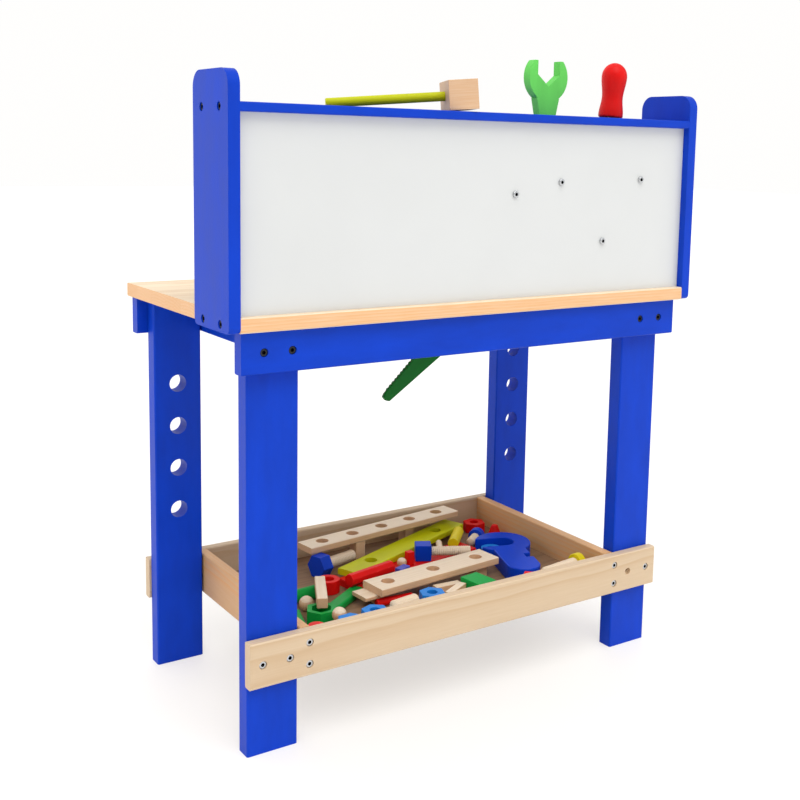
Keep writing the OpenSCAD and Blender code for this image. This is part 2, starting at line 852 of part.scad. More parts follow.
module cube_bolt_shank() {
    color(BEECH) placed(cube_x, cube_y, layer_2 + cube_s / 2, cube_dir)
        translate([cube_s / 2, 0, 0]) rotate([0, 90, 0]) cylinder(d = 12, h = 50);
}

module yellow_peg() {
    color(YELLOW) lying_bar(-112, -56, layer_2, 47, 14, 50);
}

module red_grip() {
    color(RED) lying_bar(50, -2, layer_2, 12.3, 16, 68, 8);
}

module red_ring() {
    color(RED) placed(99.5, -15.5, floor_top) difference() {
        cylinder(d = nut_af, h = nut_h + 3);
        translate([0, 0, -eps]) cylinder(d = 14, h = nut_h + 3 + 2 * eps);
    }
}

module hex_nut() {
    color(SKY) placed(26, 96, layer_2, 12) nut(nut_af, nut_h, 12);
}

module green_block() {
    color(GREEN) placed(-43, 90, layer_2, 8) translate([-13, -17, 0]) cube([26, 34, 13]);
}

bolt_c_head_af = five_hole_z - rest - floor_top;
bolt_c_dir = 194.4;
bolt_e_dir = 38.2;
bolt_d_dir = 7.6;

module blue_bolt_heads() {
    color(BLUE) placed(84, -64, floor_top + bolt_c_head_af / 2, bolt_c_dir)
        rotate([0, 90, 0]) rotate(30)
            translate([0, 0, -8]) hexagon(bolt_c_head_af, 16);
    color(BLUE) placed(-150, -62, floor_top + 10, bolt_e_dir)
        rotate([0, 90, 0]) translate([0, 0, -6]) cylinder(d = 20, h = 12);
}

// Natural shanks of the bolts that lie in the tray, some of them without a head
module bolt_shanks() {
    color(BEECH) placed(84, -64, floor_top + bolt_c_head_af / 2, bolt_c_dir)
        translate([8, 0, 0]) rotate([0, 90, 0]) cylinder(d = 14, h = 46);
    color(BEECH) placed(-150, -62, floor_top + 10, bolt_e_dir)
        translate([6, 0, 0]) rotate([0, 90, 0]) cylinder(d = 12, h = 24);
    color(BEECH) placed(-182, 106, layer_2 + 11, bolt_d_dir)
        translate([5, 0, 0]) rotate([0, 90, 0]) cylinder(d = 14, h = 54);
    color(BEECH) lying_bar(63, 95, layer_2, 8, 14, 34);
}

module yellow_bolt_head() {
    color(YELLOW) placed(-182, 106, layer_2 + 11, bolt_d_dir)
        rotate([0, 90, 0]) translate([0, 0, -5]) cylinder(d = 22, h = 10);
}

module light_blue_parts() {
    color(SKY) placed(107, 105, layer_2, 20) nut(nut_af, nut_h, 12);
    color(SKY) placed(139, 108, layer_2, 4) hexagon(nut_af, nut_h - 2);
    color(SKY) placed(-80, 116, layer_2) nut(18, 10, 8);
    color(SKY) placed(-135, -9, floor_top) difference() {
        cylinder(d = 26, h = nut_h);
        translate([0, 0, -eps]) cylinder(d = 12, h = nut_h + 2 * eps);
    }
}

module red_small_parts() {
    color(RED) placed(-176, -104, floor_top, 10) nut(nut_af, nut_h, 12);
    color(RED) placed(-187, -71, floor_top) cylinder(d1 = 20, d2 = 8, h = 16);
    color(RED) placed(-103, 113, layer_2, 45) translate([-8, -8, 0]) cube([16, 16, 14]);
    color(RED) placed(180, 107, floor_top) cylinder(d = 18, h = 22);
    color(RED) lying_bar(52, 56, floor_top, 174, spanner_bar_t, 46);
    color("orangered") placed(-17, -20, layer_2) translate([-4.5, -4.5, 0]) cube([9, 9, 17]);
}

module green_small_parts() {
    color(GREEN) lying_bar(142, -5, floor_top, 4, spanner_h, 54);
    color(GREEN) placed(174, 54, floor_top, 73) plank(62, 13, 6, []);
}

module purple_block() {
    color(PURPLE) placed(4.5, -2, layer_2, 20) translate([-9, -5, 0]) cube([18, 10, 7]);
}

block_s = 14;

module natural_parts() {
    // Upright blocks under the five-hole plank
    for (at = [[19, -87], [-70, -112]])
        color(BEECH) placed(at[0], at[1], floor_top, 7) translate([-block_s / 2, -block_s / 2, 0])
            cube([block_s, block_s, five_hole_z - rest - floor_top]);
    // Block under the free end of the three-hole plank
    color(BEECH) placed(-82, 33, floor_top, 5) translate([-9, -9, 0])
        cube([18, 18, three_hole_z - rest - floor_top]);
    // Dowel under the thin strip
    color(BEECH) lying_bar(72, 36, floor_top, 95, spanner_bar_t, 24);
    // Dowel under the free end of the lime plank
    color(BEECH) lying_bar(-138, -110, floor_top, 31, bottom_plank_t, 46);
    // Beads
    for (at = [[147.5, 21, floor_top, 17], [141, 86, layer_2, 16], [-4, -17, layer_2, 12]])
        color(BEECH) translate([at[0], at[1], at[2] + at[3] / 2]) sphere(d = at[3]);
    // Short sticks beside the green block
    color(BEECH) placed(-10, 91, layer_2, 28) translate([-18, -4.5, 0]) cube([36, 9, 9]);
    color(BEECH) placed(-14, 68, floor_top, 176) translate([-17, -5, 0]) cube([34, 10, 14]);
    // Short peg beside the yellow one
    color(BEECH) lying_bar(-80, -47, layer_2, 60, 8, 24);
}

// ---------------------------------------------------------------- nodes

tabletop();
leg(1, -1);  // leg_front_left
leg(-1, -1);  // leg_front_right
leg(1, 1);  // leg_rear_left
leg(-1, 1);  // leg_rear_right
apron(-1);  // apron_front
apron(1);  // apron_rear
table_batten(1);  // table_batten_left
table_batten(-1);  // table_batten_right
upright(1);  // upright_left
upright(-1);  // upright_right
tool_shelf();
rear_panel();
tray_rail(-1);  // tray_rail_front
tray_rail(1);  // tray_rail_rear
tray_side(1);  // tray_side_left
tray_side(-1);  // tray_side_right
tray_floor();
apron_screws();
tray_screws();
upright_screws();
gear_screws();
gear_washers();
axle_pegs();
gear_large();
gear_upper();
gear_outer();
gear_small();
hammer_head();
hammer_handle();
open_wrench();
screwdriver_handle();
screwdriver_shaft();
saw_blade();
saw_handle();
five_hole_plank();
lime_plank();
three_hole_plank();
thin_strip();
red_plank();
lower_planks();
blue_wrench();
socket_spanner();
square_stick();
cube_bolt_head();
cube_bolt_shank();
yellow_peg();
red_grip();
red_ring();
hex_nut();
green_block();
blue_bolt_heads();
bolt_shanks();
yellow_bolt_head();
light_blue_parts();
red_small_parts();
green_small_parts();
purple_block();
natural_parts();
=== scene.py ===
"""Looks of a wooden toy workbench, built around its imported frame."""

import json
import math
import random

import bmesh
import bpy
import numpy as np
from bpy.props import FloatProperty, FloatVectorProperty, IntProperty, PointerProperty
from mathutils import Matrix, Vector


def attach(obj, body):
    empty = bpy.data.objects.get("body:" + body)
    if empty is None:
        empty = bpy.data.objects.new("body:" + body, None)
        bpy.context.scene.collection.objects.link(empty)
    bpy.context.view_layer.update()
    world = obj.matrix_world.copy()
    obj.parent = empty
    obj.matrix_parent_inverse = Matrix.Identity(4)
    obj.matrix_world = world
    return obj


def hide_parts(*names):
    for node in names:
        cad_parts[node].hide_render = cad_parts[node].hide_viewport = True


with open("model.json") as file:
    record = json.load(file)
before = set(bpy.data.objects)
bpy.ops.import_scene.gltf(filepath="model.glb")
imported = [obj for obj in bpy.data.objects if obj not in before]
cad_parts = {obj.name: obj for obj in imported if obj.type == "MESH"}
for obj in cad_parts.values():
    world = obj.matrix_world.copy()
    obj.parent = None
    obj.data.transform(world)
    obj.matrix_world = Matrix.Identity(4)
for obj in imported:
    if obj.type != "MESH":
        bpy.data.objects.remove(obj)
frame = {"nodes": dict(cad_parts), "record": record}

bl_info = {
    "name": "Toy Workbench",
    "version": (1, 0, 0),
    "blender": (4, 5, 0),
    "location": "View3D > Sidebar > Workbench",
    "description": "Finishes a wooden toy workbench: boards, paint, grain, screws and threads",
    "category": "Object",
}

MM = 0.001
BODY_OF = {node: body for body, nodes in frame["record"]["behaviour"]["bodies"].items()
           for node in nodes}
SLOT_OF = {part["node"]: part["material_slot"] for part in frame["record"]["subparts"]}


def screen_colour(red, green, blue):
    """A colour given as it looks on a screen, 0 to 255, in the linear values that shaders use."""
    return tuple((c / 255 / 12.92) if c <= 10 else ((c / 255 + 0.055) / 1.055) ** 2.4
                 for c in (red, green, blue))


# ---- settings


def colour_setting(name, description, red, green, blue):
    """A colour property whose default is given as it looks on a screen."""
    return FloatVectorProperty(name=name, description=description, subtype="COLOR", size=3,
                               min=0.0, max=1.0, default=screen_colour(red, green, blue))


def length_setting(name, description, millimetres):
    """A length property whose default is given in millimetres."""
    return FloatProperty(name=name, description=description, subtype="DISTANCE", unit="LENGTH",
                         min=0.0, default=millimetres * MM, precision=5)


class PaintSettings(bpy.types.PropertyGroup):
    """Colours of the painted pieces."""

    blue: colour_setting("Blue", "Frame, shelf and blue toy parts", 2, 62, 196)
    # Green and light green are shaded and lit copies of one green paint: painted shade on the parts
    # in the tray, painted light on the wrench on the shelf.
    green: colour_setting("Green", "Spanner and green toy parts", 14, 160, 66)
    light_green: colour_setting("Green in painted light", "Open wrench on the shelf", 106, 212, 94)
    dark_green: colour_setting("Dark green", "Blade of the saw", 6, 106, 32)
    red: colour_setting("Red", "Screwdriver handle and red toy parts", 228, 18, 16)
    lime: colour_setting("Lime", "Hammer handle and lime plank", 200, 204, 12)
    yellow: colour_setting("Yellow", "Large gear, peg and bolt head", 226, 206, 20)
    sky: colour_setting("Sky blue", "Nuts", 30, 128, 214)
    purple: colour_setting("Purple", "Small block", 88, 92, 196)


class WoodSettings(bpy.types.PropertyGroup):
    """Colours and figure of the bare wood."""

    pine_light: colour_setting(
        "Pine, early wood", "Pale part of a growth ring of the pine", 238, 219, 190)
    pine_dark: colour_setting(
        "Pine, late wood", "Dark part of a growth ring of the pine", 214, 180, 138)
    # The sawn-edge tone is the tabletop's edge colour, and also the dark tone of the tray's darker
    # sides, which are painted shade.
    pine_flank: colour_setting(
        "Pine, sawn edge", "Edges of the tabletop and the sides of the tray", 226, 156, 84)
    beech_light: colour_setting(
        "Beech, early wood", "Pale part of the hardwood of the toy parts", 238, 222, 198)
    beech_dark: colour_setting(
        "Beech, late wood", "Dark part of the hardwood of the toy parts", 216, 188, 152)
    beech_flank: colour_setting("Beech, sides", "Sawn sides of the loose planks", 200, 142, 88)
    ply_light: colour_setting(
        "Tray board, pale", "Pale part of the plywood in the tray", 150, 118, 88)
    ply_dark: colour_setting(
        "Tray board, dark", "Dark part of the plywood in the tray", 112, 84, 60)
    ring_pitch: length_setting("Ring pitch", "Distance between two growth rings of the pine", 3.4)
    lath_width: length_setting("Lath width", "Width of the laths glued into the tabletop", 44)


class EdgeSettings(bpy.types.PropertyGroup):
    """Rounding of the edges, by kind of piece."""

    board: length_setting("Boards", "Rounding of the frame's boards", 1.4)
    rail: length_setting("Tray boards", "Rounding of the boards of the tray", 1.8)
    tool: length_setting("Tools", "Rounding of the wooden tools", 1.2)
    plank: length_setting("Planks", "Rounding of the loose planks", 1.0)
    small: length_setting("Small parts", "Rounding of the small loose parts", 0.8)
    gear: length_setting("Gears", "Rounding of the gears", 0.9)
    metal: length_setting("Metal", "Rounding of washers and metal parts", 0.2)


class FastenerSettings(bpy.types.PropertyGroup):
    """Wood screws and toy bolt threads."""

    socket: FloatProperty(name="Socket", subtype="FACTOR",
                          description="Width of the hexagon socket over the head's diameter",
                          min=0.2, max=0.8, default=0.5)
    rim: length_setting("Head rim", "Rounding of the rim of a screw head", 0.7)
    pitch: length_setting("Thread pitch", "Distance between two ridges on a toy bolt", 2.4)
    depth: length_setting("Thread depth", "Depth of the grooves on a toy bolt", 0.7)
    seed: IntProperty(name="Seed", default=5,
                      description="Seed that turns each screw head its own way")


class StageSettings(bpy.types.PropertyGroup):
    """Floor and light."""

    floor: colour_setting("Floor", "Colour of the floor", 250, 249, 248)
    # Floor glow is painted light: emission that only the camera sees, which paints the shadows on
    # the floor paler; no light lies under the floor.
    glow: FloatProperty(name="Floor glow",
                        description="Share of the floor's tone that comes from light under it",
                        min=0.0, max=1.0, default=0.6)
    key: FloatProperty(name="Key light",
                       description="Strength of the sun that stands for the softbox",
                       min=0.0, default=2.1)
    ambient: FloatProperty(name="Ambient light", description="Strength of the light from all round",
                           min=0.0, default=0.62)


# ---- node helpers


def add(tree, kind, inputs=None, **settings):
    """A new node with its settings, and with its inputs joined or set."""
    node = tree.nodes.new(kind)
    for name, value in settings.items():
        setattr(node, name, value)
    for name, value in (inputs or {}).items():
        if isinstance(value, bpy.types.NodeSocket):
            tree.links.new(value, node.inputs[name])
        else:
            node.inputs[name].default_value = value
    return node


def maths(tree, operation, *values, kind="ShaderNodeMath"):
    """The result of a Math node on up to three values or sockets."""
    return add(tree, kind, dict(enumerate(values)), operation=operation).outputs[0]


def vector_maths(tree, operation, *values):
    """The result of a Vector Math node on up to three vectors or sockets."""
    return maths(tree, operation, *values, kind="ShaderNodeVectorMath")


def mix_colour(tree, factor, first, second):
    """Two colours mixed by a factor that changes over the surface."""
    ends = [colour if isinstance(colour, bpy.types.NodeSocket) else (*colour, 1.0)
            for colour in (first, second)]
    node = add(tree, "ShaderNodeMix", {0: factor, 6: ends[0], 7: ends[1]}, data_type="RGBA")
    return node.outputs[2]


def ramp(tree, value, start, end, first=0.0, last=1.0, kind="LINEAR"):
    """Goes from first to last while the value goes from start to end."""
    return add(tree, "ShaderNodeMapRange", {"Value": value, "From Min": start, "From Max": end,
                                            "To Min": first, "To Max": last},
               interpolation_type=kind).outputs[0]


def spread(tree, value, low, high):
    """A value from 0 to 1 moved to the range from low to high."""
    return ramp(tree, value, 0.0, 1.0, low, high)


def noise(tree, place, scale, detail, roughness=0.5):
    """The value of a noise texture at a place."""
    return add(tree, "ShaderNodeTexNoise", {"Vector": place, "Scale": scale, "Detail": detail,
                                            "Roughness": roughness}).outputs[0]


def wood_noise(tree, place, stretch, detail, roughness=0.5):
    """Noise drawn out along the wood, scaled apart along, across and through it."""
    return noise(tree, vector_maths(tree, "MULTIPLY", place, stretch), 1.0, detail, roughness)


def spot_noise(tree, scale, detail):
    """Noise that runs no particular way, fixed to the place of the piece."""
    return noise(tree, add(tree, "ShaderNodeTexCoord").outputs["Object"], scale, detail)


def new_group(name, inputs, outputs, kind="ShaderNodeTree"):
    """An empty node group with named sockets: (name, what it holds) or (name, it, default)."""
    tree = bpy.data.node_groups.new(name, kind)
    for way, sockets in (("INPUT", inputs), ("OUTPUT", outputs)):
        for label, holds, *default in sockets:
            socket = tree.interface.new_socket(label, in_out=way,
                                               socket_type=f"NodeSocket{holds}")
            if default:
                socket.default_value = default[0]
    ends = tree.nodes.new("NodeGroupInput"), tree.nodes.new("NodeGroupOutput")
    return tree, ends[0].outputs, ends[1].inputs


def shared(name):
    """Makes a node group by this name only where the file doesn't have it yet."""
    def wrap(build):
        def once():
            return bpy.data.node_groups.get(name) or build(name)
        return once
    return wrap


# ---- shared effects

# Scales of noise along, across and through the wood
WANDER_STRETCH = (5.0, 28.0, 28.0)
FIBRE_STRETCH = (26.0, 900.0, 900.0)
MOTTLE_STRETCH = (14.0, 46.0, 46.0)
RAISED_GRAIN_STRETCH = (22.0, 520.0, 520.0)
PEEL_SCALE = 620.0
RAISED_GRAIN = 0.5  # how much the wood shows through paint, against the roller's texture

LATH_SEED = 7.3
LATH_SHIFT = (0.9, 0.02, 0.05)  # how far apart in the log two laths may come from
RING_RISE = 2.2  # how late in a growth ring its dark wood sets in
RING_FALL = 0.86  # where in a growth ring the dark wood ends
WEAR_BLUR = 0.12  # softness of the rim of a worn patch


@shared("Wood Figure")
def wood_figure_group(name):
    """Growth rings round a pith, fibres along X and the tone of each glued lath."""
    tree, given, result = new_group(
        name,
        [("Vector", "Vector"), ("Lath Width", "Float", 1.0),
         ("Ring Pitch", "Float", 0.003), ("Wander", "Float", 0.004)],
        [("Rings", "Float"), ("Fibre", "Float"), ("Tone", "Float")])
    across = add(tree, "ShaderNodeSeparateXYZ", {0: given["Vector"]}).outputs[1]
    lath = maths(tree, "FLOOR", maths(
        tree, "ADD", maths(tree, "DIVIDE", across, given["Lath Width"]), 0.5))
    chance = add(tree, "ShaderNodeTexWhiteNoise", {"W": maths(tree, "ADD", lath, LATH_SEED)},
                 noise_dimensions="1D")
    shift = vector_maths(tree, "MULTIPLY", chance.outputs["Color"], LATH_SHIFT)
    middle = add(tree, "ShaderNodeCombineXYZ",
                 {"Y": maths(tree, "MULTIPLY", lath, given["Lath Width"])}).outputs[0]
    own = vector_maths(tree, "ADD", vector_maths(tree, "SUBTRACT", given["Vector"], middle), shift)
    slow = wood_noise(tree, own, WANDER_STRETCH, detail=2.0)
    wander = maths(tree, "MULTIPLY", maths(tree, "SUBTRACT", slow, 0.5), given["Wander"])
    off_pith = add(tree, "ShaderNodeSeparateXYZ", {0: own}).outputs
    radius = maths(tree, "SQRT", maths(tree, "ADD", maths(tree, "POWER", off_pith[1], 2.0),
                                       maths(tree, "POWER", off_pith[2], 2.0)))
    ring = maths(tree, "FRACT", maths(
        tree, "DIVIDE", maths(tree, "ADD", radius, wander), given["Ring Pitch"]))
    rise = maths(tree, "POWER", ring, RING_RISE)
    fall = ramp(tree, ring, RING_FALL, 1.0, 1.0, 0.0, kind="SMOOTHSTEP")
    tree.links.new(maths(tree, "MULTIPLY", rise, fall), result["Rings"])
    tree.links.new(wood_noise(tree, own, FIBRE_STRETCH, detail=3.0, roughness=0.6), result["Fibre"])
    tree.links.new(chance.outputs["Value"], result["Tone"])
    return tree


@shared("Paint Film")
def paint_film_group(name):
    """Roller texture of a paint film, its slow mottling and the wood that shows through it."""
    tree, given, result = new_group(
        name, [("Vector", "Vector"), ("Grain", "Float", 0.4)],
        [("Mottle", "Float"), ("Height", "Float")])
    mottle = wood_noise(tree, given["Vector"], MOTTLE_STRETCH, detail=3.0, roughness=0.55)
    peel = noise(tree, given["Vector"], PEEL_SCALE, detail=1.0)
    grain = wood_noise(tree, given["Vector"], RAISED_GRAIN_STRETCH, detail=2.0)
    tree.links.new(mottle, result["Mottle"])
    tree.links.new(maths(tree, "MULTIPLY_ADD", grain, given["Grain"], peel), result["Height"])
    return tree


@shared("Edge Wear")
def edge_wear_group(name):
    """Patchy mask along the eased edges of a piece."""
    tree, given, result = new_group(
        name, [("Vector", "Vector"), ("Edge", "Float", 0.0),
               ("Patch Size", "Float", 0.012), ("Amount", "Float", 0.5)],
        [("Mask", "Float")])
    scale = maths(tree, "DIVIDE", 1.0, given["Patch Size"])
    threshold = maths(tree, "SUBTRACT", 1.0, given["Amount"])
    patches = noise(tree, given["Vector"], scale, detail=3.0, roughness=0.65)
    worn = ramp(tree, patches, maths(tree, "SUBTRACT", threshold, WEAR_BLUR),
                maths(tree, "ADD", threshold, WEAR_BLUR), kind="SMOOTHSTEP")
    tree.links.new(maths(tree, "MULTIPLY", worn, given["Edge"]), result["Mask"])
    return tree


def effect(tree, group, inputs):
    """A shared effect placed in a material with its own values."""
    return add(tree, "ShaderNodeGroup", inputs, node_tree=group).outputs


# ---- materials

PAINT_GLOSS = 0.14
PAINT_ROUGHNESS = (0.34, 0.52)
PAINT_MOTTLE = (-0.4, 1.4)  # how far the mottling swings
PAINT_DEEP = 0.78  # share of its tone that the paint keeps where it lies thick
PAINT_WEAR, WOOD_WEAR = 0.36, 0.6  # how much of an edge is worn
THIN_TONE, THIN_LIFT = 0.9, 0.045  # thin paint is paler: times the one, plus the other
THIN_SHARE = 0.6  # how much of the thin paint shows on a worn edge

WOOD_ROUGHNESS, RAW_ROUGHNESS = (0.4, 0.66), (0.52, 0.78)
STREAK_SWING = (-0.35, 1.0)  # how far the dark of the fibres swings
STREAK_SHARE, STREAK_TONE = 0.26, 0.72  # how much it shows, and its tone against the dark wood
SAWN_SWING = (0.35, 0.8)  # how much of a flank's colour the fibres let through
LATH_SHARE, LATH_TONE = 0.3, 0.86  # how much the laths differ, and the darkest one's tone
HANDLED_SHARE = 0.45  # how much the handled edges of bare wood darken
RING_RELIEF = -0.35  # how far the dark wood of a ring sinks in, against the fibres
RAIL_TONE = (0.81, 0.775, 0.74)  # tone of the tray's rails, as a share of the tabletop's
# Near black of the screws' hexagon sockets: painted shade in the recess, not the metal's own
# colour.
PAINTED_SOCKET_SHADE = (0.004, 0.004, 0.005)

WHITE_FACE = screen_colour(212, 214, 214)
BLACK_ZINC = screen_colour(58, 58, 62)
BRIGHT_ZINC = screen_colour(200, 202, 204)
GREY_FIBRE = screen_colour(150, 152, 156)


def dimmed(colour, share):
    """The colour made darker by one share, or by a share for each channel."""
    shares = share if hasattr(share, "__len__") else (share,) * len(colour)
    return tuple(c * s for c, s in zip(colour, shares))


def blank_material(name, colour):
    """A new material: its tree and its shader, whose colour in the viewport is set too."""
    material = bpy.data.materials.new(name)
    material.use_nodes = True
    material.diffuse_color = (*colour, 1.0)
    tree = material.node_tree
    return material, tree, tree.nodes["Principled BSDF"]


def own_grain(tree):
    """The place along, across and through the wood that each piece carries in its mesh."""
    return add(tree, "ShaderNodeAttribute", attribute_name="grain").outputs["Vector"]


def own_mark(tree, name):
    """1 on the faces of a piece that carry a mark, such as its edges or flanks, and 0 elsewhere."""
    return add(tree, "ShaderNodeAttribute", attribute_name=name).outputs["Fac"]


def bump(tree, height, strength, distance):
    """The normal that a height gives."""
    return add(tree, "ShaderNodeBump", {"Height": height, "Strength": strength,
                                        "Distance": distance}).outputs[0]


def feed(shader, values):
    """Joins what changes over the surface to the shader's own sockets."""
    for name, value in values.items():
        shader.id_data.links.new(value, shader.inputs[name])


def painted_wood(name, colour):
    """Satin paint on wood: mottled, a little paler where it is thin on the edges."""
    material, tree, shader = blank_material(name, colour)
    grain = own_grain(tree)
    film = effect(tree, paint_film_group(), {"Vector": grain, "Grain": RAISED_GRAIN})
    worn = effect(tree, edge_wear_group(), {"Vector": grain, "Edge": own_mark(tree, "edge"),
                                            "Amount": PAINT_WEAR})
    base = mix_colour(tree, spread(tree, film["Mottle"], *PAINT_MOTTLE),
                      dimmed(colour, PAINT_DEEP), colour)
    thin = tuple(c * THIN_TONE + THIN_LIFT for c in colour)
    thinned = maths(tree, "MULTIPLY", worn["Mask"], THIN_SHARE)
    feed(shader, {
        "Base Color": mix_colour(tree, thinned, base, thin),
        "Roughness": spread(tree, film["Mottle"], *PAINT_ROUGHNESS),
        "Normal": bump(tree, film["Height"], strength=0.22, distance=0.0004)})
    shader.inputs["Specular IOR Level"].default_value = PAINT_GLOSS
    return material


def bare_wood(name, light, dark, pitch, wander=0.006, lath=1.0, contrast=0.75,
              roughness=WOOD_ROUGHNESS, flank=None):
    """Lacquered or bare wood with rings, fibres and slightly darker handled edges."""
    material, tree, shader = blank_material(name, light)
    grain = own_grain(tree)
    figure = effect(tree, wood_figure_group(), {"Vector": grain, "Lath Width": lath,
                                                "Ring Pitch": pitch, "Wander": wander})
    worn = effect(tree, edge_wear_group(), {"Vector": grain, "Edge": own_mark(tree, "edge"),
                                            "Amount": WOOD_WEAR})
    ringed = mix_colour(tree, maths(tree, "MULTIPLY", figure["Rings"], contrast), light, dark)
    streak = maths(tree, "MULTIPLY", spread(tree, figure["Fibre"], *STREAK_SWING), STREAK_SHARE)
    fibred = mix_colour(tree, streak, ringed, dimmed(dark, STREAK_TONE))
    varied = mix_colour(tree, maths(tree, "MULTIPLY", figure["Tone"], LATH_SHARE),
                        fibred, dimmed(dark, LATH_TONE))
    shown = mix_colour(tree, maths(tree, "MULTIPLY", worn["Mask"], HANDLED_SHARE), varied, dark)
    if flank:
        sawn = maths(tree, "MULTIPLY", own_mark(tree, "flank"),
                     spread(tree, figure["Fibre"], *SAWN_SWING))
        shown = mix_colour(tree, sawn, shown, flank)
    height = maths(tree, "MULTIPLY_ADD", figure["Rings"], RING_RELIEF, figure["Fibre"])
    feed(shader, {
        "Base Color": shown,
        "Roughness": spread(tree, figure["Fibre"], *roughness),
        "Normal": bump(tree, height, strength=0.3, distance=0.0003)})
    return material


def board_face(name, colour):
    """White face of the rear panel: smooth, with a very faint cloud in its tone."""
    material, tree, shader = blank_material(name, colour)
    speck = spot_noise(tree, scale=900.0, detail=1.0)
    cloud = spot_noise(tree, scale=9.0, detail=4.0)
    feed(shader, {
        "Base Color": mix_colour(tree, cloud, dimmed(colour, 0.93), colour),
        "Roughness": spread(tree, speck, 0.34, 0.48),
        "Normal": bump(tree, speck, strength=0.06, distance=0.0002)})
    return material


def plated_metal(name, colour, roughness):
    """Plated steel with fine scratches, a patchy gloss and sockets painted near black as painted
    shade.
    """
    material, tree, shader = blank_material(name, colour)
    shader.inputs["Metallic"].default_value = 1.0
    patch = spot_noise(tree, scale=340.0, detail=4.0)
    scratches = spot_noise(tree, scale=2600.0, detail=2.0)
    plated = mix_colour(tree, patch, dimmed(colour, 0.78), colour)
    feed(shader, {
        # The socket's faces are painted near black: painted shade in the recess.
        "Base Color": mix_colour(tree, own_mark(tree, "socket"), plated, PAINTED_SOCKET_SHADE),
        "Roughness": spread(tree, patch, *roughness),
        "Normal": bump(tree, scratches, strength=0.12, distance=0.0001)})
    return material


def fibre_washer(name, colour):
    """Matt grey washer, moulded with a fine texture."""
    material, tree, shader = blank_material(name, colour)
    grit = spot_noise(tree, scale=1400.0, detail=3.0)
    feed(shader, {
        "Base Color": mix_colour(tree, grit, dimmed(colour, 0.8), colour),
        "Roughness": spread(tree, grit, 0.5, 0.7),
        "Normal": bump(tree, grit, strength=0.2, distance=0.0001)})
    return material


def make_finish(slot):
    """The material of one of the record's slots, or of a board that differs within its slot."""
    paint = PaintSettings.bl_rna.properties.get(slot.removesuffix("_paint"))
    if paint:
        colours = bpy.context.scene.bench_paint
        return painted_wood(f"{paint.name} paint", tuple(getattr(colours, paint.identifier)))
    wood = bpy.context.scene.bench_wood
    light, dark, flank = tuple(wood.pine_light), tuple(wood.pine_dark), tuple(wood.pine_flank)
    pitch, lath = wood.ring_pitch, wood.lath_width
    makers = {
        "pine_top": lambda: bare_wood("Pine top", light, dark, pitch, lath=lath, flank=flank),
        "pine_rail": lambda: bare_wood("Pine rail", dimmed(light, RAIL_TONE),
                                       dimmed(dark, RAIL_TONE), pitch, lath=lath),
        # The tray's sides are a darker pine, made from the late wood and sawn-edge tones: painted
        # shade for the shade inside the tray.
        "pine_painted_shade": lambda: bare_wood("Pine side", dark, flank, pitch),
        "beech": lambda: bare_wood("Beech", tuple(wood.beech_light), tuple(wood.beech_dark),
                                   pitch * 0.7, wander=0.004, contrast=0.4,
                                   flank=tuple(wood.beech_flank)),
        "tray_board": lambda: bare_wood("Tray board", tuple(wood.ply_light),
                                        tuple(wood.ply_dark), pitch * 3, wander=0.03,
                                        contrast=0.6, roughness=RAW_ROUGHNESS),
        "white_board": lambda: board_face("White board", WHITE_FACE),
        "dark_screw": lambda: plated_metal("Black zinc", BLACK_ZINC, (0.3, 0.48)),
        "zinc_screw": lambda: plated_metal("Bright zinc", BRIGHT_ZINC, (0.18, 0.36)),
        "grey_washer": lambda: fibre_washer("Grey fibre", GREY_FIBRE),
    }
    return makers[slot]()


FINISHES = {}


def finish(slot):
    """The material of a slot, made once."""
    if slot not in FINISHES:
        FINISHES[slot] = make_finish(slot)
    return FINISHES[slot]


# ---- meshes from the frame

WELD = 1e-6  # corners nearer than this are one
FLAT = math.radians(0.4)  # faces that turn less than this are one
CREASE = math.radians(28)  # edges that turn more than this are eased
SHARP = math.radians(38)  # edges that turn more than this stay sharp in the shading
UPRIGHT = 0.5  # a face whose normal rises less than this is a flank
EDGE_STEPS = 3  # faces across an eased edge
LOG_LENGTH = 4  # length of the log that the pieces are cut from
PITH_AWAY = (0.03, 0.075)  # how far the pith lies from the middle of a piece
PITH_TURN = (60, 120)  # and on which side, in degrees


def welded(node):
    """The mesh of a CAD piece with its loose triangles joined and its flat faces whole."""
    mesh = bmesh.new()
    mesh.from_mesh(frame["nodes"][node].data)
    bmesh.ops.remove_doubles(mesh, verts=mesh.verts, dist=WELD)
    bmesh.ops.dissolve_limit(mesh, angle_limit=FLAT, verts=mesh.verts, edges=mesh.edges)
    return mesh


def solids(mesh):
    """The separate solids of a mesh, each as a list of its vertices."""
    mesh.verts.index_update()
    left, found = set(range(len(mesh.verts))), []
    mesh.verts.ensure_lookup_table()
    while left:
        reached, front = set(), [min(left)]
        while front:
            index = front.pop()
            if index in reached:
                continue
            reached.add(index)
            vert = mesh.verts[index]
            front.extend(edge.other_vert(vert).index for edge in vert.link_edges)
        left -= reached
        found.append([mesh.verts[i] for i in sorted(reached)])
    return found


def axes_of(points):
    """The middle of some points and their long, middle and short direction, as rows."""
    middle = (points.max(0) + points.min(0)) / 2
    centred = points - points.mean(0)
    rows = np.linalg.svd(centred, full_matrices=False)[2]
    for row in rows:
        row *= 1 if row[np.argmax(np.abs(row))] > 0 else -1
    return middle, rows


def mark_grain(mesh, name):
    """Stores, for each solid, the place along, across and through its wood, from its own pith."""
    layer = mesh.verts.layers.float_vector.new("grain")
    chance = random.Random(f"{name}0")
    for verts in solids(mesh):
        middle, rows = axes_of(np.array([v.co for v in verts]))
        turn = math.radians(chance.uniform(*PITH_TURN))
        along = np.array([chance.uniform(0, LOG_LENGTH), 0, 0])
        pith = along + chance.uniform(*PITH_AWAY) * np.array([0, math.cos(turn), math.sin(turn)])
        for vert in verts:
            vert[layer] = Vector(rows @ (np.array(vert.co) - middle) + pith)


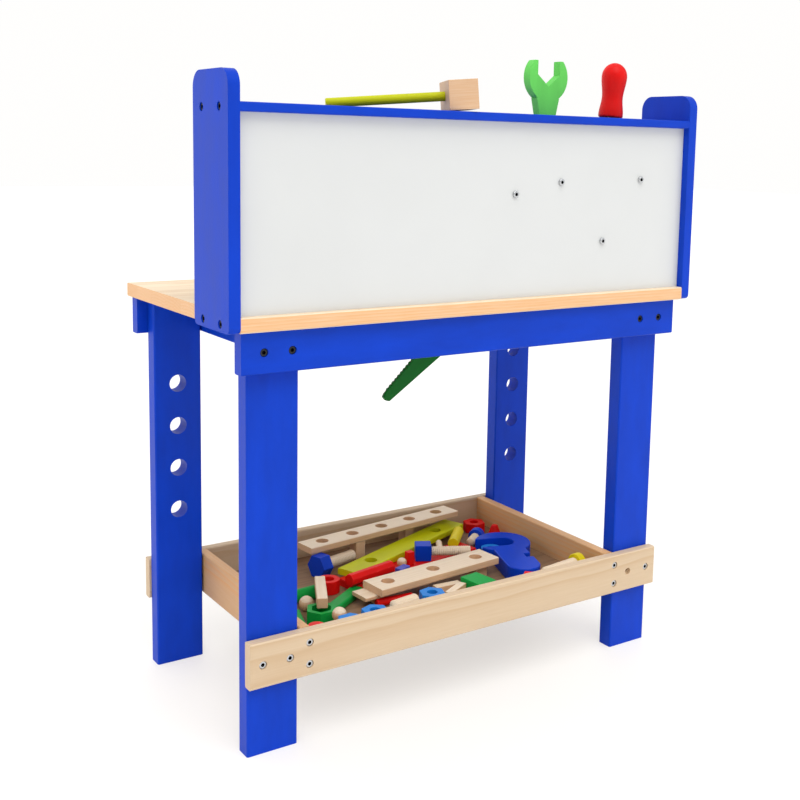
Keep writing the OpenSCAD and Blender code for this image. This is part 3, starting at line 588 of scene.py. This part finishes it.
def eased_mesh(node, width):
    """A welded CAD piece with its creases rounded over, and its edges and flanks marked."""
    mesh = welded(node)
    mark_grain(mesh, node)
    edge_mark = mesh.faces.layers.float.new("edge")
    creases = [e for e in mesh.edges if len(e.link_faces) == 2 and e.calc_face_angle() > CREASE]
    made = bmesh.ops.bevel(mesh, geom=creases, offset=width, offset_type="OFFSET",
                           segments=EDGE_STEPS, profile=0.5, affect="EDGES", clamp_overlap=True)
    for face in made["faces"]:
        face[edge_mark] = 1.0
    flank_mark = mesh.faces.layers.float.new("flank")
    for face in mesh.faces:
        face[flank_mark] = float(abs(face.normal.z) < UPRIGHT)
    return mesh


def mesh_data(mesh, name, sharp=None):
    """The mesh as an object's data, shaded smooth up to an angle if one is given."""
    data = bpy.data.meshes.new(name)
    mesh.to_mesh(data)
    mesh.free()
    if sharp is not None:
        data.shade_smooth()
        data.set_sharp_from_angle(angle=sharp)
    return data


def linked(name, data):
    """A new object at the origin with this mesh."""
    piece = bpy.data.objects.new(name, data)
    bpy.context.scene.collection.objects.link(piece)
    return piece


def settled(piece):
    """The piece with its modifiers turned into plain mesh."""
    evaluated = piece.evaluated_get(bpy.context.evaluated_depsgraph_get())
    data = bpy.data.meshes.new_from_object(evaluated)
    piece.modifiers.clear()
    piece.data = data
    data.name = piece.name
    return piece


def stands_for(piece, *nodes):
    """The piece replaces these CAD nodes, which are hidden, and rides on their body."""
    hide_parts(*nodes)
    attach(piece, BODY_OF[nodes[0]])
    return piece


def eased(node, width, look=None):
    """A CAD piece with softly rounded edges, in the finish of its slot or another look."""
    piece = linked(f"{node}_eased", mesh_data(eased_mesh(node, width), node, SHARP))
    piece.modifiers.new("Even shading", "WEIGHTED_NORMAL").keep_sharp = True
    settled(piece)
    piece.data.materials.append(finish(look or SLOT_OF[node]))
    return stands_for(piece, node)


# ---- threads and screws

THREAD_SIDES, THREAD_ROWS = 30, 6  # faces round a shank, and rows of them to a ridge
TIP_LENGTH, TIP_DROP = 0.0016, 0.0013  # over what length a shank's end narrows, and by how much
SHANK_PITH = 0.03  # how far the pith lies from the middle of a shank
SEAM = 0.00002  # corners of a thread nearer than this close up
TAPER = 1e-5  # a rod whose ends differ by more than this has a head

SCREW_SIDES, SCREW_RIBS, RIM_STEPS = 36, 9, 4
HEAD_HEIGHT = 2.5 * MM
HEAD_SHARE = 0.2  # a head is also no higher than this share of the screw's length
SOCKET_DEPTH = 0.65  # as a share of the head's height
SOCKET_SLACK = 1.01  # a face may lie this far outside the socket's radius
FLARE = 0.6  # room for the flare of the socket's mouth, as a share of the head's rim
FLARE_DOWN, FLARE_OUT = 0.3, 0.4  # how much of that room it takes
PLAIN_SHARE = 0.3  # share of the shank next to the head that has no ribs
GROOVE = 0.78  # radius between the ribs, as a share of the shank's
SCREW_SHARP = math.radians(40)
FLAT_TURN = math.pi / 3  # turn from one flat of a hexagon to the next


def input_of(modifier, name, value):
    """Sets a Geometry Nodes input by the identifier of its socket."""
    for item in modifier.node_group.interface.items_tree:
        if item.item_type == "SOCKET" and item.in_out == "INPUT" and item.name == name:
            modifier[item.identifier] = value
            return
    raise ValueError(f"{modifier.node_group.name} has no input named {name}")


def realised(tree, geometry, given, result):
    """The tree with its end: instances made real, and the material set."""
    real = add(tree, "GeometryNodeRealizeInstances", {"Geometry": geometry})
    coloured = add(tree, "GeometryNodeSetMaterial", {"Geometry": real.outputs[0],
                                                     "Material": given["Material"]})
    tree.links.new(coloured.outputs[0], result["Geometry"])
    return tree


@shared("Threaded Shank")
def threaded_shank_tree(name):
    """A round shank with a helical ridge from its start along its direction, closed at its ends."""
    tree, given, result = new_group(
        name,
        [("Geometry", "Geometry"), ("Start", "Vector"),
         ("Direction", "Vector"), ("Length", "Float", 0.05),
         ("Radius", "Float", 0.007), ("Pitch", "Float", 0.0024),
         ("Depth", "Float", 0.0007), ("Material", "Material")],
        [("Geometry", "Geometry")], kind="GeometryNodeTree")
    ridges = maths(tree, "DIVIDE", given["Length"], given["Pitch"])
    rows = maths(tree, "ADD", 3.0, maths(
        tree, "CEIL", maths(tree, "MULTIPLY", ridges, THREAD_ROWS)))
    row_count = add(tree, "FunctionNodeFloatToInt", {0: rows}).outputs[0]
    grid = add(tree, "GeometryNodeMeshGrid", {
        "Size X": 1.0, "Size Y": 1.0, "Vertices X": THREAD_SIDES + 1, "Vertices Y": row_count})
    position = add(tree, "GeometryNodeInputPosition").outputs[0]
    place = add(tree, "ShaderNodeSeparateXYZ", {0: position}).outputs
    turn = maths(tree, "ADD", place[0], 0.5)
    last = maths(tree, "SUBTRACT", rows, 1.0)
    row = maths(tree, "MULTIPLY", maths(tree, "ADD", place[1], 0.5), last)
    share = ramp(tree, row, 1.0, maths(tree, "SUBTRACT", last, 1.0))
    height = maths(tree, "MULTIPLY", share, given["Length"])
    wave = maths(tree, "PINGPONG", maths(
        tree, "SUBTRACT", maths(tree, "DIVIDE", height, given["Pitch"]), turn), 0.5)
    groove = maths(tree, "MULTIPLY", maths(tree, "MULTIPLY", wave, 2.0), given["Depth"])
    tip = ramp(tree, maths(tree, "SUBTRACT", given["Length"], height), 0.0, TIP_LENGTH,
               TIP_DROP, 0.0)
    ridge = maths(tree, "SUBTRACT", maths(tree, "SUBTRACT", given["Radius"], groove), tip)
    near = maths(tree, "MINIMUM", row, 1.0)
    far = maths(tree, "MINIMUM", maths(tree, "SUBTRACT", last, row), 1.0)
    radius = maths(tree, "MULTIPLY", ridge, maths(tree, "MULTIPLY", near, far))
    angle = maths(tree, "MULTIPLY", turn, math.tau)
    across, through = (maths(tree, "MULTIPLY", radius, maths(tree, part, angle))
                       for part in ("COSINE", "SINE"))
    point = add(tree, "ShaderNodeCombineXYZ", {"X": across, "Y": through, "Z": height})
    grain = add(tree, "ShaderNodeCombineXYZ", {
        "X": height, "Y": maths(tree, "ADD", SHANK_PITH, across), "Z": through})
    marked = add(tree, "GeometryNodeStoreNamedAttribute", {
        "Geometry": grid.outputs[0], "Name": "grain", "Value": grain.outputs[0]},
        data_type="FLOAT_VECTOR", domain="POINT")
    shaped = add(tree, "GeometryNodeSetPosition", {"Geometry": marked.outputs[0],
                                                   "Position": point.outputs[0]})
    closed = add(tree, "GeometryNodeMergeByDistance", {"Geometry": shaped.outputs[0],
                                                       "Distance": SEAM})
    aim = add(tree, "FunctionNodeAlignRotationToVector", {"Vector": given["Direction"]}, axis="Z")
    moved = add(tree, "GeometryNodeTransform", {
        "Geometry": closed.outputs[0], "Translation": given["Start"], "Rotation": aim.outputs[0]})
    smooth = add(tree, "GeometryNodeSetShadeSmooth", {"Geometry": moved.outputs[0]})
    return realised(tree, smooth.outputs[0], given, result)


@shared("Fasteners On Points")
def fasteners_tree(name):
    """One fastener on every point, turned to face its way and spun by chance."""
    tree, given, result = new_group(
        name,
        [("Geometry", "Geometry"), ("Fastener", "Object"),
         ("Seed", "Int", 0), ("Material", "Material")],
        [("Geometry", "Geometry")], kind="GeometryNodeTree")
    model = add(tree, "GeometryNodeObjectInfo", {"Object": given["Fastener"]})
    facing = add(tree, "GeometryNodeInputNamedAttribute", {"Name": "facing"},
                 data_type="FLOAT_VECTOR").outputs[0]
    aim = add(tree, "FunctionNodeAlignRotationToVector", {"Vector": facing}, axis="Z").outputs[0]
    chance = add(tree, "FunctionNodeRandomValue", {"Seed": given["Seed"]}, data_type="FLOAT")
    spin = add(tree, "FunctionNodeAxisAngleToRotation",
               {"Angle": maths(tree, "MULTIPLY", chance.outputs[1], math.tau)}).outputs[0]
    both = add(tree, "FunctionNodeRotateRotation", {"Rotation": aim, "Rotate By": spin},
               rotation_space="LOCAL")
    placed = add(tree, "GeometryNodeInstanceOnPoints", {
        "Points": given["Geometry"], "Instance": model.outputs["Geometry"],
        "Rotation": both.outputs[0]})
    return realised(tree, placed.outputs[0], given, result)


def grown(piece, tree, **inputs):
    """The piece with a Geometry Nodes tree run on it and turned into plain mesh."""
    modifier = piece.modifiers.new(tree.name, "NODES")
    modifier.node_group = tree
    for name, value in inputs.items():
        input_of(modifier, name.replace("_", " ").title(), value)
    return settled(piece)


class Rod:
    """A round solid of the frame: where it starts, which way it runs, its length and its radii."""

    def __init__(self, verts):
        points = np.array([v.co for v in verts])
        middle, rows = axes_of(points)
        axis = rows[0]
        along = (points - middle) @ axis
        middle = middle + axis * (along.max() + along.min()) / 2
        along = (points - middle) @ axis
        apart = np.linalg.norm((points - middle) - np.outer(along, axis), axis=1)
        if apart[along < 0].max() > apart[along > 0].max() + TAPER:
            axis, along = -axis, -along
        self.length = along.max() - along.min()
        self.axis = Vector(axis)
        self.head = Vector(middle + axis * self.length / 2)
        self.foot = Vector(middle - axis * self.length / 2)
        self.head_radius = apart.max()
        self.shank_radius = np.median(apart[along < 0])


def rods(node):
    """The round solids of a CAD node."""
    mesh = welded(node)
    found = [Rod(verts) for verts in solids(mesh)]
    mesh.free()
    return found


def lathe(outline, steps):
    """A closed mesh turned round Z from (radius, height) pairs that start and end on the axis."""
    mesh = bmesh.new()
    rings = []
    for radius, height in outline:
        if radius < WELD:
            rings.append([mesh.verts.new((0, 0, height))] * steps)
        else:
            rings.append([mesh.verts.new((radius * math.cos(math.tau * i / steps),
                                          radius * math.sin(math.tau * i / steps), height))
                          for i in range(steps)])
    for low, high in zip(rings, rings[1:]):
        for i in range(steps):
            corners = [low[i], low[(i + 1) % steps], high[(i + 1) % steps], high[i]]
            unique = list(dict.fromkeys(corners))
            if len(unique) > 2:
                mesh.faces.new(unique)
    bmesh.ops.recalc_face_normals(mesh, faces=mesh.faces)
    return mesh


def screw_model(name, head_r, shank_r, length, rim, socket_share):
    """A wood screw, its head's top at the origin: pan head, hexagon socket, ribs and point."""
    head_h = min(HEAD_HEIGHT, length * HEAD_SHARE)
    socket_r = head_r * socket_share
    socket_depth = head_h * SOCKET_DEPTH
    flare = rim * FLARE
    outline = [(0, -socket_depth), (socket_r, -socket_depth), (socket_r, -flare * FLARE_DOWN),
               (socket_r + flare * FLARE_OUT, 0)]
    for i in range(RIM_STEPS + 1):
        angle = math.pi / 2 * i / RIM_STEPS
        outline.append((head_r - rim + rim * math.sin(angle), -rim + rim * math.cos(angle)))
    outline += [(head_r, -head_h), (shank_r, -head_h)]
    start, end = -head_h - (length - head_h) * PLAIN_SHARE, -length + shank_r * 2
    for i in range(SCREW_RIBS * 2 + 1):
        outline.append((shank_r * (1.0 if i % 2 else GROOVE),
                        start + (end - start) * i / (SCREW_RIBS * 2)))
    outline.append((0, -length))
    mesh = lathe(outline, SCREW_SIDES)
    for vert in mesh.verts:
        radius = math.hypot(vert.co.x, vert.co.y)
        if WELD < radius < socket_r + flare and vert.co.z > -socket_depth - WELD:
            angle = math.atan2(vert.co.y, vert.co.x) % FLAT_TURN - FLAT_TURN / 2
            share = math.cos(FLAT_TURN / 2) / math.cos(angle)
            vert.co.x, vert.co.y = vert.co.x * share, vert.co.y * share
    # The faces inside the socket are marked, so that the finish paints them near black as painted
    # shade.
    socket_shade_mark = mesh.faces.layers.float.new("socket")
    for face in mesh.faces:
        middle = face.calc_center_median()
        near = math.hypot(middle.x, middle.y) < socket_r * SOCKET_SLACK
        face[socket_shade_mark] = float(near and middle.z > -head_h)
    return linked(name, mesh_data(mesh, name, SCREW_SHARP))


def screw_set(node):
    """Every screw of a CAD node, made from one model on points that face the way the screws do."""
    settings = bpy.context.scene.bench_fasteners
    found = rods(node)
    first = found[0]
    model = screw_model(f"{node}_model", first.head_radius, first.shank_radius, first.length,
                        settings.rim, settings.socket)
    data = bpy.data.meshes.new(node)
    data.from_pydata([rod.head for rod in found], [], [])
    facing = data.attributes.new("facing", "FLOAT_VECTOR", "POINT")
    facing.data.foreach_set("vector", [c for rod in found for c in rod.axis])
    piece = linked(f"{node}_turned", data)
    grown(piece, fasteners_tree(), fastener=model, seed=settings.seed,
          material=finish(SLOT_OF[node]))
    bpy.data.objects.remove(model)
    return stands_for(piece, node)


def joined(name, pieces, material):
    """Several meshes made one object in one material."""
    mesh = bmesh.new()
    for piece in pieces:
        mesh.from_mesh(piece.data)
        bpy.data.objects.remove(piece)
    for face in mesh.faces:
        face.material_index = 0
    data = mesh_data(mesh, name)
    data.materials.append(material)
    data.shade_smooth()
    return linked(name, data)


def threaded_set(node):
    """The shanks of a CAD node with a thread cut into them."""
    settings = bpy.context.scene.bench_fasteners
    material = finish(SLOT_OF[node])
    pieces = [grown(linked("shank", bpy.data.meshes.new("shank")), threaded_shank_tree(),
                    start=rod.foot, direction=rod.axis, length=rod.length,
                    radius=rod.head_radius, pitch=settings.pitch, depth=settings.depth,
                    material=material) for rod in rods(node)]
    return stands_for(joined(f"{node}_threaded", pieces, material), node)


# ---- stage

CAMERA_PLACE = (0.729458, 1.139087, 0.612397)
CAMERA_TURNS = (35.088, 7.696, -1.285)  # yaw, pitch and roll in degrees
CAMERA_LENS, CAMERA_SENSOR = 51.84, 36.0
CAMERA_SHIFT = (-0.0748, -0.1205)
CAMERA_RANGE = (0.05, 60.0)
FLOOR_REACH = 14.0  # from its middle to its sides
NO_LIGHT = (0.0, 0.0, 0.0)
# Tint of the floor's painted glow, which paints its shadows pale and a little warm.
PAINTED_GLOW_TINT = (0.985, 0.96, 0.93)
BACKDROP_SIDE = (0.35, -0.90, 0.26)  # which way the bright backdrop lies
BACKDROP_EDGES = (-0.5, 0.9)  # where it starts and where it is brightest
BACKDROP_DIM, BACKDROP_BRIGHT = 0.6, 1.9  # light away from the backdrop, and from it
BACKDROP_TINT = (1.0, 0.995, 0.985, 1.0)
# Each sun's name, share of the key light, source, width in degrees and tint
LAMPS = (("Key", 1.0, (0.15, 0.55, 1.0), 50, (1.0, 0.985, 0.96)),
         ("Fill", 0.35, (-0.9, 0.9, 0.45), 70, (0.97, 0.985, 1.0)))


def add_camera(scene):
    """The camera stands behind the bench, a little above its shelf."""
    yaw, pitch, roll = (math.radians(turn) for turn in CAMERA_TURNS)
    ahead = Vector((-math.sin(yaw) * math.cos(pitch), -math.cos(yaw) * math.cos(pitch),
                    -math.sin(pitch)))
    level = Vector((-math.cos(yaw), math.sin(yaw), 0))
    above = level.cross(ahead)
    right = level * math.cos(roll) - above * math.sin(roll)
    up = level * math.sin(roll) + above * math.cos(roll)
    data = bpy.data.cameras.new("Camera")
    data.sensor_width = CAMERA_SENSOR
    data.lens = CAMERA_LENS
    data.shift_x, data.shift_y = CAMERA_SHIFT
    data.clip_start, data.clip_end = CAMERA_RANGE
    camera = bpy.data.objects.new("Camera", data)
    camera.matrix_world = Matrix.Translation(CAMERA_PLACE) @ Matrix(
        (right, up, -ahead)).transposed().to_4x4()
    scene.collection.objects.link(camera)
    scene.camera = camera


def add_floor(settings):
    """A wide pale floor under the legs, with a painted glow that only the camera sees, which paints
    the shadow on it paler.
    """
    mesh = bmesh.new()
    bmesh.ops.create_grid(mesh, x_segments=2, y_segments=2, size=FLOOR_REACH)
    data = mesh_data(mesh, "Floor")
    floor = linked("Floor", data)
    colour = tuple(settings.floor)
    material, tree, shader = blank_material("Floor", colour)
    lit = mix_colour(tree, spot_noise(tree, scale=1.5, detail=2.0), dimmed(colour, 0.99), colour)
    # Painted light: for camera rays a share of the floor's colour is swapped for a warm glow, which
    # paints its shadows paler.
    seen = add(tree, "ShaderNodeLightPath").outputs["Is Camera Ray"]
    glow = maths(tree, "MULTIPLY", seen, settings.glow)
    feed(shader, {"Base Color": mix_colour(tree, glow, lit, NO_LIGHT),
                  "Emission Color": mix_colour(tree, glow, NO_LIGHT, PAINTED_GLOW_TINT)})
    shader.inputs["Emission Strength"].default_value = 1.0
    shader.inputs["Roughness"].default_value = 0.6
    data.materials.append(material)


def add_light(scene, settings):
    """Soft light from above and behind the camera, with a bright backdrop on the far side."""
    world = bpy.data.worlds.new("Studio")
    scene.world = world
    world.use_nodes = True
    tree = world.node_tree
    background = tree.nodes["Background"]
    direction = add(tree, "ShaderNodeTexCoord").outputs["Generated"]
    side = add(tree, "ShaderNodeVectorMath", {0: direction, 1: BACKDROP_SIDE},
               operation="DOT_PRODUCT").outputs["Value"]
    backdrop = ramp(tree, side, *BACKDROP_EDGES, settings.ambient * BACKDROP_DIM,
                    settings.ambient * BACKDROP_BRIGHT, kind="SMOOTHSTEP")
    seen = add(tree, "ShaderNodeLightPath").outputs["Is Camera Ray"]
    strength = add(tree, "ShaderNodeMix", {0: seen, 2: backdrop, 3: 1.0}, data_type="FLOAT")
    tree.links.new(strength.outputs[0], background.inputs["Strength"])
    background.inputs["Color"].default_value = BACKDROP_TINT
    for name, share, source, width, tint in LAMPS:
        data = bpy.data.lights.new(name, "SUN")
        data.energy = settings.key * share
        data.angle = math.radians(width)
        data.color = tint
        lamp = bpy.data.objects.new(name, data)
        lamp.rotation_mode = "QUATERNION"
        lamp.rotation_quaternion = Vector(source).to_track_quat("Z", "Y")
        scene.collection.objects.link(lamp)
    scene.view_settings.view_transform = "Standard"


# ---- operators


def ease_all(width, *nodes):
    """Eases several CAD pieces by one width."""
    for node in nodes:
        eased(node, width)


class BENCH_OT_stage(bpy.types.Operator):
    """Sets up the camera, the floor and the light"""

    bl_idname = "bench.stage"
    bl_label = "Stage"

    def execute(self, context):
        add_camera(context.scene)
        add_floor(context.scene.bench_stage)
        add_light(context.scene, context.scene.bench_stage)
        return {"FINISHED"}


class BENCH_OT_table(bpy.types.Operator):
    """Finishes the tabletop, the legs, the aprons and the battens under the top"""

    bl_idname = "bench.table"
    bl_label = "Table"

    def execute(self, context):
        edge = context.scene.bench_edges
        eased("tabletop", edge.rail, look="pine_top")
        ease_all(edge.board, "leg_front_left", "leg_front_right", "leg_rear_left", "leg_rear_right",
                 "apron_front", "apron_rear", "table_batten_left", "table_batten_right")
        return {"FINISHED"}


class BENCH_OT_tool_wall(bpy.types.Operator):
    """Finishes the uprights, the tool shelf and the white panel"""

    bl_idname = "bench.tool_wall"
    bl_label = "Tool wall"

    def execute(self, context):
        edge = context.scene.bench_edges
        ease_all(edge.board, "upright_left", "upright_right", "tool_shelf")
        ease_all(edge.metal, "rear_panel")
        return {"FINISHED"}


class BENCH_OT_tray(bpy.types.Operator):
    """Finishes the boards and the floor of the tray"""

    bl_idname = "bench.tray"
    bl_label = "Tray"

    def execute(self, context):
        edge = context.scene.bench_edges
        for rail in ("tray_rail_front", "tray_rail_rear"):
            eased(rail, edge.rail, look="pine_rail")
        # The sides of the tray take the darker pine, which is painted shade.
        for side in ("tray_side_left", "tray_side_right"):
            eased(side, edge.rail, look="pine_painted_shade")
        ease_all(edge.metal, "tray_floor")
        return {"FINISHED"}


class BENCH_OT_screws(bpy.types.Operator):
    """Makes the wood screws of the frame, the tray and the gear wall"""

    bl_idname = "bench.screws"
    bl_label = "Screws"

    def execute(self, context):
        for node in ("apron_screws", "upright_screws", "tray_screws", "gear_screws"):
            screw_set(node)
        return {"FINISHED"}


class BENCH_OT_gears(bpy.types.Operator):
    """Finishes the four gears, their washers and their axle pegs"""

    bl_idname = "bench.gears"
    bl_label = "Gears"

    def execute(self, context):
        edge = context.scene.bench_edges
        ease_all(edge.gear, "gear_large", "gear_upper", "gear_outer", "gear_small")
        ease_all(edge.small, "axle_pegs")
        ease_all(edge.metal, "gear_washers")
        return {"FINISHED"}


class BENCH_OT_tools(bpy.types.Operator):
    """Finishes the hammer, the open wrench, the screwdriver and the saw"""

    bl_idname = "bench.tools"
    bl_label = "Tools"

    def execute(self, context):
        edge = context.scene.bench_edges
        ease_all(edge.tool, "hammer_head", "hammer_handle", "screwdriver_handle", "saw_handle")
        # The wrench takes the lit copy of the green paint, which is painted light.
        eased("open_wrench", edge.tool, look="light_green")
        ease_all(edge.small, "saw_blade")
        ease_all(edge.metal, "screwdriver_shaft")
        return {"FINISHED"}


class BENCH_OT_planks(bpy.types.Operator):
    """Finishes the loose planks in the tray"""

    bl_idname = "bench.planks"
    bl_label = "Loose planks"

    def execute(self, context):
        ease_all(context.scene.bench_edges.plank, "five_hole_plank", "lime_plank",
                 "three_hole_plank", "thin_strip", "red_plank", "lower_planks", "square_stick")
        return {"FINISHED"}


class BENCH_OT_bolts(bpy.types.Operator):
    """Makes the toy bolts in the tray, with threads on their shanks"""

    bl_idname = "bench.bolts"
    bl_label = "Toy bolts"

    def execute(self, context):
        ease_all(context.scene.bench_edges.small, "cube_bolt_head", "blue_bolt_heads",
                 "yellow_bolt_head")
        threaded_set("cube_bolt_shank")
        threaded_set("bolt_shanks")
        return {"FINISHED"}


class BENCH_OT_small_parts(bpy.types.Operator):
    """Finishes the nuts, pegs, blocks and toy spanners in the tray"""

    bl_idname = "bench.small_parts"
    bl_label = "Small parts"

    def execute(self, context):
        edge = context.scene.bench_edges
        ease_all(edge.small, "yellow_peg", "red_grip", "red_ring", "hex_nut", "green_block",
                 "light_blue_parts", "red_small_parts", "green_small_parts", "purple_block",
                 "natural_parts")
        ease_all(edge.tool, "blue_wrench", "socket_spanner")
        return {"FINISHED"}


OPERATORS = (BENCH_OT_stage, BENCH_OT_table, BENCH_OT_tool_wall, BENCH_OT_tray, BENCH_OT_screws,
             BENCH_OT_gears, BENCH_OT_tools, BENCH_OT_planks, BENCH_OT_bolts, BENCH_OT_small_parts)


class BENCH_PT_pieces(bpy.types.Panel):
    """Lists what the workbench is made of"""

    bl_idname = "BENCH_PT_pieces"
    bl_label = "Toy workbench"
    bl_space_type = "VIEW_3D"
    bl_region_type = "UI"
    bl_category = "Workbench"

    def draw(self, context):
        for operator in OPERATORS:
            self.layout.operator(operator.bl_idname)


SETTINGS = {"bench_paint": PaintSettings, "bench_wood": WoodSettings, "bench_edges": EdgeSettings,
            "bench_fasteners": FastenerSettings, "bench_stage": StageSettings}


def register():
    """Makes the settings, the operators and the panel known."""
    for name, group in SETTINGS.items():
        bpy.utils.register_class(group)
        setattr(bpy.types.Scene, name, PointerProperty(type=group))
    for item in (*OPERATORS, BENCH_PT_pieces):
        bpy.utils.register_class(item)


def unregister():
    """Takes them away again."""
    for item in (BENCH_PT_pieces, *reversed(OPERATORS)):
        bpy.utils.unregister_class(item)
    for name, group in SETTINGS.items():
        delattr(bpy.types.Scene, name)
        bpy.utils.unregister_class(group)


def main():
    """Builds the whole bench."""
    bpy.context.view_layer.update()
    register()
    for operator in OPERATORS:
        group, name = operator.bl_idname.split(".")
        getattr(getattr(bpy.ops, group), name)()


if __name__ == "__main__":
    main()
